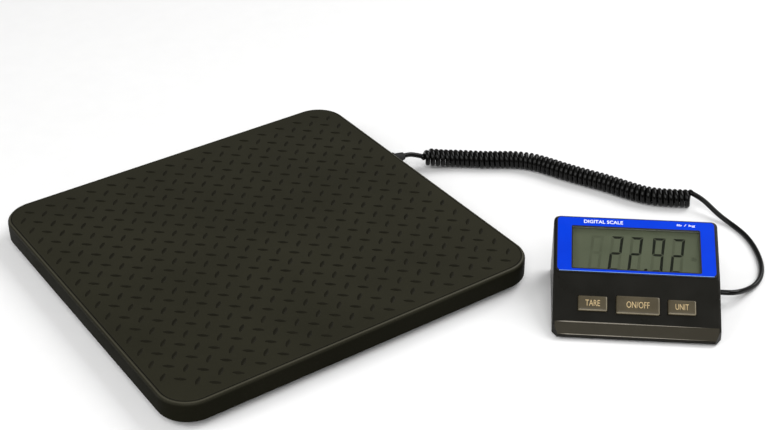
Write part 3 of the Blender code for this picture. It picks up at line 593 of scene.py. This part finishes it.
def add_margin(bm, cells, grid, ring):
    """Flat between the stepped edge of the tread and the ring inside the groove."""
    following = {}
    for i, j in cells:
        low, right, high, left = (i, j), (i + 1, j), (i + 1, j + 1), (i, j + 1)
        for a, b, beyond in ((low, right, (i, j - 1)), (right, high, (i + 1, j)),
                             (high, left, (i, j + 1)), (left, low, (i - 1, j))):
            if beyond not in cells:
                following[a] = b
    stair, key = [], next(iter(following))
    while key in following:
        stair.append(grid[key])
        key = following.pop(key)
    verts = ring + stair
    flat = [Vector((v.co.x, v.co.y)) for v in verts]
    outer, inner = len(ring), len(stair)
    edges = [(k, (k + 1) % outer) for k in range(outer)]
    edges += [(outer + k, outer + (k + 1) % inner) for k in range(inner)]
    for triangle in delaunay_2d_cdt(flat, edges, [], 1, 1e-6)[2]:
        centre = sum((flat[k] for k in triangle), Vector((0, 0))) / 3
        cell = (round((centre.x - TREAD_X) / PITCH_X), round((centre.y - TREAD_Y) / PITCH_Y))
        if cell not in cells:
            bm.faces.new([verts[k] for k in triangle])


def build_cover():
    bm = bmesh.new()

    def plan_ring(inset, z):
        plan = rounded_rect(DECK_X, DECK_Y, DECK_R, CORNER_STEPS, inset)
        return [bm.verts.new((x, y, z)) for x, y in plan]

    cells = tread_cells()
    grid = add_tread(bm, cells)
    previous = plan_ring(GROOVE + 0.55, DECK_Z)
    add_margin(bm, cells, grid, previous)
    count = len(previous)
    for step, (inset, z) in enumerate(RIM):
        ring = plan_ring(inset, z)
        for k in range(count):
            j = (k + 1) % count
            face = bm.faces.new((previous[k], previous[j], ring[j], ring[k]))
            # the groove faces take the painted shade
            if 1 <= step <= 3:
                face.material_index = 1
        previous = ring
    bm.faces.new(previous)
    cover = make(bm, "platform_cover_tread", "deck groove lug", sharp=COVER_SHARP)
    # hole through the +X skirt for the cord
    bm = bmesh.new()
    loft(bm, [[(DECK_X / 2 + x, CORD_EXIT_Y + CORD_HOLE_R * math.cos(a),
                CORD_EXIT_Z + CORD_HOLE_R * math.sin(a)) for a in angles(28)] for x in (-8, 8)])
    cut_with(cover, bm)
    cover.data.set_sharp_from_angle(angle=math.radians(COVER_SHARP))
    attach(cover, "platform")
    hand_over("platform_cover")


build_cover()

# ------------------------------------------------------------------ display frame
ACROSS = Vector((math.cos(DISP_TURN), math.sin(DISP_TURN), 0))      # along the case's width
DEEP = Vector((-math.sin(DISP_TURN), math.cos(DISP_TURN), 0))       # from its low front to its back


def slope(low, high):
    """Foot of a sloped face, its direction upward and its outward normal, as (depth, height)."""
    depth, rise = high[0] - low[0], high[1] - low[1]
    length = math.hypot(depth, rise)
    return low, (depth / length, rise / length), (-rise / length, depth / length)


SLOPE = {"keys": slope(STEP, CREASE), "label": slope(CREASE, TOP)}


def display_point(across, depth, z):
    return Vector((*DISP_AT, 0)) + ACROSS * across + DEEP * depth + Vector((0, 0, z))


def on_face(face, across, up, out):
    """Point on a sloped face: across it, up it from its foot, and out of it."""
    foot, rise, normal = SLOPE[face]
    return display_point(across, foot[0] + up * rise[0] + out * normal[0],
                         foot[1] + up * rise[1] + out * normal[1])


# ------------------------------------------------------------------ coiled cord
COIL_ROUTE = [  # x, y, z of the coil's axis
    (182, 40, 11.5), (196, 31, 9.0), (212, 22.5, COIL_Z), (229, 7, COIL_Z), (246, -3, COIL_Z),
    (259.5, -17, COIL_Z), (267, -37, COIL_Z), (276, -58, COIL_Z), (286.5, -77, COIL_Z),
    (293.5, -97, COIL_Z), (301, -113.5, COIL_Z), (312.5, -125, COIL_Z), (327, -136.5, COIL_Z)]
LEAD_ROUTE = [  # x, y, z from inside the platform, through its wall, to the coil
    (28, 2, 12.6), (60, 14, 11.6), (100, 34, 12.4),
    *((x, CORD_EXIT_Y, CORD_EXIT_Z) for x in (138, 150, 162, 168)),
    (174, CORD_EXIT_Y - 0.5, CORD_EXIT_Z - 0.4)]
TAIL_ROUTE = [  # x, y, z from the coil, over the table, toward the display
    (331, -146.5, 10.6), (331.3, -158, 6.6), (332.5, -168, 3.4), (333, -179, 2.2),
    (331.5, -192, 2.2), (327, -205, 2.2), (320, -218, 2.2), (312, -229.5, 2.2),
    (303, -238.5, 2.2), (293, -245, 2.4), (282, -248.5, 3.2), (270, -251, 6.4)]
TAIL_INTO_CASE = (13.5, 8, 1, -5, -11)      # distances out from the case's side wall
BEND_REACH = 28                             # route steps each way when a bend is measured
PER_TURN = 22                               # points in a turn of the coil
CORD_SIDES = 12
CORD_SWELL = 0.17                           # added to the radius of the faceted jacket

route, route_length = resample(bspline(COIL_ROUTE, 240), 0.25)
route_steps = len(route) - 1


def bend(i):
    """Curvature of the coil's route at a step, in 1/mm."""
    i = min(max(i, BEND_REACH), route_steps - BEND_REACH)
    turn = (route[i] - route[i - BEND_REACH]).angle(route[i + BEND_REACH] - route[i])
    return turn / (BEND_REACH * route_length / route_steps)


def coil_turns():
    """Turns made by each route step. They stay just clear of each other on the inner side of
    a bend and open on its outer side."""
    turns = [0.0]
    for i in range(route_steps):
        pitch = max(COIL_PITCH, (2 * CORD_R + 0.15) / (1 - COIL_R * bend(i)))
        turns.append(turns[-1] + route_length / route_steps / pitch)
    return turns


def coil_axis(turns, share):
    """Point and cross directions of the route where the coil has made a share of its turns."""
    want = min(max(share, 0.0), 1.0) * turns[-1]
    i = min(max(bisect.bisect_right(turns, want) - 1, 0), route_steps - 1)
    x = i + min(max((want - turns[i]) / (turns[i + 1] - turns[i]), 0.0), 1.0)
    point = route[i].lerp(route[i + 1], x - i)
    along = (route[min(i + 7, route_steps)] - route[max(i - 6, 0)]).normalized()
    side = Vector((0, 0, 1)).cross(along).normalized()
    return point, side, along.cross(side)


def coil_points():
    turns = coil_turns()
    whole = round(turns[-1])
    count = whole * PER_TURN
    points = []
    for k in range(count + 1):
        share = k / count
        point, side, up = coil_axis(turns, share)
        a = math.radians(90) + 2 * math.pi * whole * (share - 1)
        grow = min(1.0, k / (1.5 * PER_TURN))       # the coil widens over its first turns
        grow = grow * grow * (3 - 2 * grow)
        points.append(point + COIL_R * grow * (math.cos(a) * side + math.sin(a) * up))
    return points


def tube_rings(path, radius):
    """Rings of a round tube whose cross direction is carried along without twist."""
    last = len(path) - 1
    tangents = [(path[min(i + 1, last)] - path[max(i - 1, 0)]).normalized()
                for i in range(len(path))]
    side = tangents[0].orthogonal().normalized()
    rings = []
    for i, (point, along) in enumerate(zip(path, tangents)):
        if i:
            side = tangents[i - 1].rotation_difference(along) @ side
            side = (side - along * side.dot(along)).normalized()
        up = along.cross(side)
        rings.append([tuple(point + radius * (math.cos(a) * side + math.sin(a) * up))
                      for a in angles(CORD_SIDES)])
    return rings


def build_cord():
    coil = coil_points()
    lead = bspline(LEAD_ROUTE + [coil[0]], 60)
    wall = Vector((*DISP_AT, 0)) + ACROSS * (CASE_W / 2) + DEEP * CORD_IN_DEPTH
    wall.z = CORD_IN_Z
    tail = bspline([coil[-1]] + TAIL_ROUTE + [wall + ACROSS * d for d in TAIL_INTO_CASE], 130)
    path = lead[:-1] + coil + tail[1:]
    bm = bmesh.new()
    loft(bm, tube_rings(path, CORD_R + CORD_SWELL))
    cord = make(bm, "coiled_cord_fine", "cord", sharp=60)
    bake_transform(cord, "platform", "display",
             start=tuple(to_row(route[0])), end=tuple(to_row(route[-1])))
    # each ring follows by its place along the coil, so the turns open one after another
    first = len(lead) - 1
    last = first + len(coil) - 1
    runs = run_lengths(path)
    weights = []
    for run in runs:
        share = min(max((run - runs[first]) / (runs[last] - runs[first]), 0.0), 1.0)
        weights += [share] * CORD_SIDES
    cord.data.attributes["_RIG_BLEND"].data.foreach_set("value", weights)
    hand_over("coiled_cord")


build_cord()


# ------------------------------------------------------------------ pieces on the sloped faces
def sheet(bm, face, outline, levels):
    """Flat piece from its (across, up) outline, between two levels out of the face."""
    loft(bm, [[on_face(face, x, y, out) for x, y in outline] for out in levels])


def box_outline(half, low, high):
    return [(-half, low), (half, low), (half, high), (-half, high)]


def label_frame(bm, outer, inner, levels):
    """Frame on the label face; each outline is (width, low, high, corner radius)."""
    low, high = levels
    outer, inner = (rounded_rect(width, top - foot, radius, centre=(0.0, (foot + top) / 2))
                    for width, foot, top, radius in (outer, inner))
    loft(bm, [[on_face("label", x, y, out) for x, y in outline] for outline, out in
              ((outer, low), (outer, high), (inner, high), (inner, low))], closed=True)


def words(text, name, look, face, at, size, levels, body="display",
          bold=0.0, from_left=False, shear=0.0):
    """Words in the built-in face, stretched to size (width, cap height) and laid on a face.
    They are centred on `at` (across, up), or start there when from_left is set."""
    curve = bpy.data.curves.new(name + "_c", "FONT")
    curve.body = text
    curve.offset = bold
    curve.extrude = 0.5
    curve.resolution_u = 4
    source = add_object(name + "_c", curve)
    mesh = evaluated_mesh(source)
    bpy.data.objects.remove(source)
    xs = [v.co.x for v in mesh.vertices]
    ys = [v.co.y for v in mesh.vertices]
    x0, x1, y0, y1 = min(xs), max(xs), min(ys), max(ys)
    scale_x, scale_y = size[0] / (x1 - x0), size[1] / (y1 - y0)
    origin = x0 if from_left else (x0 + x1) / 2
    for v in mesh.vertices:
        x = (v.co.x - origin) * scale_x
        y = (v.co.y - (y0 + y1) / 2) * scale_y
        out = levels[0] if v.co.z < 0 else levels[1]
        v.co = to_row(on_face(face, at[0] + x + y * shear, at[1] + y, out))
    mesh.name = name
    mesh.materials.append(LOOK[look])
    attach(add_object(name, mesh), body)


# ------------------------------------------------------------------ label
LABEL_W, LABEL_LOW, LABEL_HIGH = 117.4, 1.2, 49.9
PRINT_LEVELS, INK_LEVELS = (0.40, 0.50), (0.48, 0.56)


def build_label():
    """Black film, blue print on it, a light-blue line along its foot as a painted highlight, plain words."""
    bm = bmesh.new()
    label_frame(bm, (LABEL_W, LABEL_LOW, LABEL_HIGH, 3.4), (93.5, 5.1, 41.2, 0.8), (0.05, 0.42))
    film = make(bm, "label_film", "film", "display")
    hand_over("label_overlay")
    bm = bmesh.new()
    label_frame(bm, (LABEL_W - 1.5, LABEL_LOW + 1.5, LABEL_HIGH - 0.7, 2.8),
                (95.3, 4.3, 42.1, 1.2), PRINT_LEVELS)
    make(bm, "label_blue_print", "blue", "display")
    bm = bmesh.new()
    # painted highlight line along the label's foot
    sheet(bm, "label", box_outline(56.6, LABEL_LOW + 1.05, LABEL_LOW + 1.42), PRINT_LEVELS)
    make(bm, "label_light_line", "blue_line", "display")
    words("DIGITAL SCALE", "label_words_left", "white_ink", "label", at=(-38.5, 45.9),
          size=(29.0, 2.9), levels=INK_LEVELS, bold=0.012, from_left=True)
    words("lb / kg", "label_words_right", "white_ink", "label", at=(30.5, 45.7),
          size=(13.5, 2.3), levels=INK_LEVELS, bold=0.006, from_left=True, shear=0.15)


build_label()

# ------------------------------------------------------------------ liquid-crystal cell
MARK_LEVELS = (-3.74, -3.66)
DIGIT_LOW, DIGIT_HIGH, DIGIT_W = 6.3, 36.3, 9.2
UPRIGHT_BAR, LEVEL_BAR, BAR_GAP = 2.2, 2.0, 0.28
DIGIT_SLANT = math.tan(math.radians(6.3))
SEGMENTS = {"2": "abged", "9": "abcdfg"}
ALL_SEGMENTS = "abcdefg"


def digit(bm, right, lit):
    """Some of the seven bars, with mitred ends; right is the digit's right edge at its top."""
    high, mid, wide = DIGIT_HIGH - DIGIT_LOW, (DIGIT_HIGH - DIGIT_LOW) / 2, DIGIT_W
    bar, half, gap = LEVEL_BAR, LEVEL_BAR / 2, BAR_GAP
    left_in, right_in = UPRIGHT_BAR, wide - UPRIGHT_BAR     # inner edges of the upright bars
    bars = {
        "a": [(gap, high), (wide - gap, high), (right_in - gap, high - bar),
              (left_in + gap, high - bar)],
        "d": [(left_in + gap, bar), (right_in - gap, bar), (wide - gap, 0), (gap, 0)],
        "g": [(gap + 0.4, mid), (left_in + gap, mid + half), (right_in - gap, mid + half),
              (wide - gap - 0.4, mid), (right_in - gap, mid - half), (left_in + gap, mid - half)],
        "f": [(0, high - gap), (left_in, high - bar - gap), (left_in, mid + half + gap),
              (0.25, mid + gap)],
        "b": [(wide, high - gap), (wide - 0.25, mid + gap), (right_in, mid + half + gap),
              (right_in, high - bar - gap)],
        "e": [(0.25, mid - gap), (left_in, mid - half - gap), (left_in, bar + gap), (0, gap)],
        "c": [(wide - 0.25, mid - gap), (wide, gap), (right_in, bar + gap),
              (right_in, mid - half - gap)],
    }
    for key, points in bars.items():
        if key in lit:
            outline = [(right - wide + x - (high - y) * DIGIT_SLANT, DIGIT_LOW + y)
                       for x, y in points]
            sheet(bm, "label", outline, MARK_LEVELS)


def build_lcd():
    bm = bmesh.new()
    sheet(bm, "label", box_outline(48.7, 3.7, 44.3), (-6.4, -3.72))
    cell = make(bm, "lcd_cell_glass", "lcd", "display")
    hand_over("lcd_cell")
    lit, unlit = bmesh.new(), bmesh.new()
    for right, figure in ((-8.5, "2"), (6.0, "2"), (22.5, "9"), (37.0, "2")):
        digit(lit, right, SEGMENTS[figure])
        digit(unlit, right, [k for k in ALL_SEGMENTS if k not in SEGMENTS[figure]])
    digit(unlit, -23.2, ALL_SEGMENTS)
    point = [(5.9, 6.6), (8.1, 6.6), (8.4, 9.2), (6.2, 9.2)]
    sheet(lit, "label", point, MARK_LEVELS)
    make(lit, "lcd_digits", "lcd_on", "display")
    make(unlit, "lcd_digits_unlit", "lcd_off", "display")
    words("lb", "lcd_unit_mark", "lcd_mid", "label", at=(42.9, 19.2), size=(3.6, 3.4),
          levels=MARK_LEVELS)


build_lcd()

# ------------------------------------------------------------------ keys
KEY_UP, KEY_OUT = 14.6, 1.9                 # centre of the row up the slope, top of the keys
KEYS = {  # place across, width, height, word, (word width, word height)
    "key_tare": (-31.9, 21.0, 11.4, "TARE", (10.6, 4.7)),
    "key_on_off": (0.8, 31.2, 13.8, "ON/OFF", (16.6, 5.0)),
    "key_unit": (32.5, 20.0, 11.2, "UNIT", (9.6, 4.5)),
}
KEY_PROFILE = (  # level out of the face, growth of the outline, corner radius
    (-3.6, 0.9, 0.6), (-2.5, 0.9, 0.6), (-2.5, 0.0, 1.0), (KEY_OUT - 1.05, 0.0, 1.0),
    (KEY_OUT - 0.75, -0.10, 1.0), (KEY_OUT - 0.42, -0.34, 0.95), (KEY_OUT - 0.2, -0.72, 0.8),
    (KEY_OUT - 0.08, -1.15, 0.7), (KEY_OUT, -2.2, 0.5))


def build_key(name, across, width, height):
    """Key with a crowned top, its rim drawn lighter along the lower and the right side as a painted
    highlight.
    """
    bm = bmesh.new()
    loft(bm, [[on_face("keys", x, y, out) for x, y in
               rounded_rect(width + 2 * grow, height + 2 * grow, radius, 5,
                            centre=(across, KEY_UP))]
              for out, grow, radius in KEY_PROFILE])
    foot = on_face("keys", 0, 0, 0)
    upward, outward = on_face("keys", 0, 1, 0) - foot, on_face("keys", 0, 0, 1) - foot
    for face in bm.faces:
        place = face.calc_center_median() - on_face("keys", across, KEY_UP, 0)
        # rim faces on the lower and right sides take the painted highlight
        rim = KEY_OUT - 1.0 < place.dot(outward) < KEY_OUT - 0.30
        lightened_edge = place.dot(upward) < -(height / 2 - 0.7) or place.dot(ACROSS) > width / 2 - 0.7
        face.material_index = 1 if rim and lightened_edge else 0
    key = make(bm, name + "_cap", "key key_rim", name, 40)
    hand_over(name)


for name, (across, width, height, _, _) in KEYS.items():
    build_key(name, across, width, height)
for name, (across, _, _, word, size) in KEYS.items():
    words(word, name.replace("key_", "legend_"), "legend", "keys", at=(across, KEY_UP),
          size=size, levels=(KEY_OUT - 0.03, KEY_OUT + 0.05), body=name)

# ------------------------------------------------------------------ pieces reworked from the CAD
LIP_RISE = 7.1
LIP_DIR = Vector((0, STEP[0], LIP_RISE)).normalized()
LIP_NORMAL = (DEEP * -LIP_DIR.z + Vector((0, 0, LIP_DIR.y))).normalized()
BATTERY_SPLIT = -6.0                        # place across where the battery's tones meet


def welded(name):
    bm = bmesh.new()
    bm.from_mesh(nodes[name].data)
    bmesh.ops.remove_doubles(bm, verts=bm.verts[:], dist=3e-6)
    return bm


def from_display(face):
    """Centre of a face as an offset from the display's place."""
    return from_row(face.calc_center_median()) - Vector((*DISP_AT, 0))


def make_dressed(bm, name, looks, sharp):
    mesh = bpy.data.meshes.new(name + "_dressed")
    bm.to_mesh(mesh)
    bm.free()
    for attribute in [a for a in mesh.attributes if a.name == "custom_normal"]:
        mesh.attributes.remove(attribute)
    ob = add_object(name + "_dressed", mesh)
    finish_mesh(mesh, [LOOK[look] for look in looks.split()], sharp)
    return ob


def dress_shell(name, looks, pick):
    """Case shell with its flat faces merged and shaded flat; pick gives a face's material."""
    bm = welded(name)
    for layer in list(bm.loops.layers.float_vector):
        bm.loops.layers.float_vector.remove(layer)
    bmesh.ops.dissolve_limit(bm, angle_limit=math.radians(0.3), verts=bm.verts[:],
                             edges=bm.edges[:])
    bmesh.ops.triangulate(bm, faces=[f for f in bm.faces if len(f.verts) > 4])
    for face in bm.faces:
        face.material_index = pick(face)
    ob = make_dressed(bm, name, looks, 34)
    flat = ob.modifiers.new("flat_faces", "WEIGHTED_NORMAL")
    flat.keep_sharp = True
    flat.weight = 80
    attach(ob, nodes[name].get("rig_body", "display"))
    hand_over(name)


def lip_index(face):
    """1 on the sloped lip along the front, which gets the lighter painted-sheen look, 0 elsewhere."""
    place = from_display(face)
    return int(place.dot(DEEP) < 10.2 and face.normal.dot(LIP_NORMAL) > 0.996 and place.z > 3.9)


def dress_battery():
    """The battery changes tone along its length, so it is cut across where the tones meet."""
    bm = welded("battery_9v")
    bmesh.ops.bisect_plane(bm, geom=bm.verts[:] + bm.edges[:] + bm.faces[:],
                           plane_co=to_row(display_point(BATTERY_SPLIT, 0, 0)), plane_no=ACROSS)
    for face in bm.faces:
        face.material_index = int(from_display(face).dot(ACROSS) < BATTERY_SPLIT)
    ob = make_dressed(bm, "battery_9v", "battery battery_dark", 35)
    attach(ob, "display")
    hand_over("battery_9v")


# the lip faces take the lighter look: painted sheen
dress_shell("display_upper_case", "case lip", lip_index)
dress_shell("display_lower_case", "case", lambda face: 0)
dress_battery()


# ------------------------------------------------------------------ screws
def cross_screw(name, body, head_r, head_h, shank_r):
    """Screw with its head down: domed head with a cross recess, round shank."""
    places = [v.co for v in nodes[name].data.vertices]
    low = [min(p[i] for p in places) / MM for i in range(3)]
    high = [max(p[i] for p in places) / MM for i in range(3)]
    x, y = (low[0] + high[0]) / 2, (low[1] + high[1]) / 2
    foot, top = low[2] - TABLE_Z, high[2] - TABLE_Z
    profile = [(head_r * 0.55, foot), (head_r * 0.86, foot + head_h * 0.16),
               (head_r, foot + head_h * 0.45), (head_r, foot + head_h),
               (shank_r, foot + head_h + 0.05), (shank_r, top)]
    bm = bmesh.new()
    loft(bm, [[(x + r * math.cos(a), y + r * math.sin(a), z) for a in angles(28)]
              for r, z in profile])
    ob = make(bm, name + "_cross", "screw", sharp=30)
    # the recess narrows into the head; each screw's cross is turned by its own angle
    arm, half = head_r * 0.52, head_r * 0.13
    cross = [(half, half), (half, arm), (-half, arm), (-half, half), (-arm, half), (-arm, -half),
             (-half, -half), (-half, -arm), (half, -arm), (half, -half), (arm, -half), (arm, half)]
    turn = math.radians((x * 37 + y * 61) % 90)
    cos, sin = math.cos(turn), math.sin(turn)
    bm = bmesh.new()
    loft(bm, [[(x + k * (px * cos - py * sin), y + k * (px * sin + py * cos), z)
               for px, py in cross]
              for k, z in ((1.06, foot - 0.4), (0.62, foot + head_h * 0.72))])
    cut_with(ob, bm)
    ob.data.shade_smooth()
    ob.data.set_sharp_from_angle(angle=math.radians(30))
    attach(ob, body)
    hand_over(name)


for k in range(1, 5):
    cross_screw("case_screw_%d" % k, "display", head_r=2.6, head_h=0.85, shank_r=1.3)
for tag in ("front_left", "front_right", "rear_left", "rear_right"):
    cross_screw("pan_screw_" + tag, "platform", head_r=3.0, head_h=1.5, shank_r=1.5)


# ------------------------------------------------------------------ light beads across the case front, painted highlight lines
def bead(name, start, end, depth, z, radius, right_taper):
    """Slim bead in a light tone that paints a highlight line, tapered at both ends; right_taper is the share
    of its length that thins out.
    """
    def ease(t):
        return max(0.0, min(1.0, t)) ** 0.8

    rings = []
    for k in range(61):
        share = k / 60
        r = radius * max(0.04, min(ease(share / 0.05), ease((1 - share) / right_taper)))
        across = start + (end - start) * share
        rings.append([display_point(across, depth + r * math.cos(a), z + r * math.sin(a))
                      for a in angles(10)])
    bm = bmesh.new()
    loft(bm, rings)
    make(bm, name, "bead", "display", 60)


bead("case_step_bead", start=-58.0, end=52.0, depth=STEP[0], z=STEP[1] - 0.02, radius=0.46,
     right_taper=0.55)
bead("case_foot_bead", start=-55.5, end=55.0, depth=1.75, z=4.31, radius=0.36, right_taper=0.5)

# ------------------------------------------------------------------ looks of the CAD pieces kept
TAKEN = {  # start of the piece's name: look; the longest match counts
    "base_pan": "pan", "load_cell_": "steel", "cell_bracket_": "bracket", "pan_screw_": "screw",
    "cell_lead_": "lead", "junction_board": "board", "platform_cord_bush": "rubber",
    "foot_pad_": "rubber", "foot_": "foot", "display_upper_case": "case",
    "display_lower_case": "case", "window_pane": "pane", "lcd_holder": "holder",
    "contact_strip": "contact", "main_board": "board", "key_board": "board",
    "switch_": "switch", "battery_9v": "battery", "battery_snap": "snap",
    "battery_door": "case", "dc_jack": "snap", "display_cord_bush": "rubber",
    "case_screw_": "screw", "rubber_pad_": "rubber",
}
for name, ob in nodes.items():
    if ob.hide_render:
        continue
    key = max((k for k in TAKEN if name.startswith(k)), key=len, default=None)
    if key is None:
        continue
    for slot in ob.material_slots:
        slot.material = LOOK[TAKEN[key]]

# ------------------------------------------------------------------ floor, in metres from here on
FLOOR_R, FLOOR_Z = 30.0, -0.0231            # just under the table plane


def build_floor():
    bm = bmesh.new()
    bm.faces.new([bm.verts.new((FLOOR_R * math.cos(a), FLOOR_R * math.sin(a), FLOOR_Z))
                  for a in angles(48)])
    mesh = bpy.data.meshes.new("floor")
    bm.to_mesh(mesh)
    bm.free()
    floor = add_object("floor", mesh)
    mesh.materials.append(surface("floor_white", dark=0.80, light=0.83, rough=(0.8, 0.9),
                                  blotch=2.0, grain=(60, 0.02), spec=0.1))


build_floor()

# ------------------------------------------------------------------ light
world = bpy.data.worlds.new("studio")
scene.world = world
world.use_nodes = True
background = world.node_tree.nodes["Background"]
background.inputs["Color"].default_value = (1.0, 0.995, 0.985, 1)
background.inputs["Strength"].default_value = 0.30

LIGHT_TARGET = Vector((0.12, -0.1, 0))


def area_light(name, place, size, power):
    """Square light facing the scale."""
    light = bpy.data.lights.new(name, "AREA")
    light.shape = "RECTANGLE"
    light.size = light.size_y = size
    light.energy = power
    ob = add_object(name, light)
    ob.location = place
    ob.rotation_euler = (LIGHT_TARGET - Vector(place)).to_track_quat("-Z", "Y").to_euler()


area_light("key_light", place=(1.60, -0.25, 1.45), size=1.6, power=36)
area_light("fill_light", place=(-0.85, -1.45, 1.75), size=1.5, power=34)
area_light("side_light", place=(-1.75, 0.35, 1.35), size=1.5, power=20)

# ------------------------------------------------------------------ camera
CAMERA_AT = (-0.46006, -0.83367, 0.63845)
CAMERA_FORWARD = Vector((0.47458, 0.68883, -0.54799)).normalized()
CAMERA_YAW, CAMERA_ROLL = 0.603276, -0.0042957      # radians


def build_camera():
    lens = bpy.data.cameras.new("camera")
    lens.sensor_width, lens.lens = 36.0, 69.38
    lens.clip_start = 0.01
    camera = add_object("camera", lens)
    level = Vector((math.cos(CAMERA_YAW), -math.sin(CAMERA_YAW), 0))
    upright = level.cross(CAMERA_FORWARD)
    cos, sin = math.cos(CAMERA_ROLL), math.sin(CAMERA_ROLL)
    axes = (cos * level + sin * upright, -sin * level + cos * upright, -CAMERA_FORWARD)
    turn = Matrix(axes).transposed().to_4x4()
    camera.matrix_world = Matrix.Translation(CAMERA_AT) @ turn
    scene.camera = camera


build_camera()
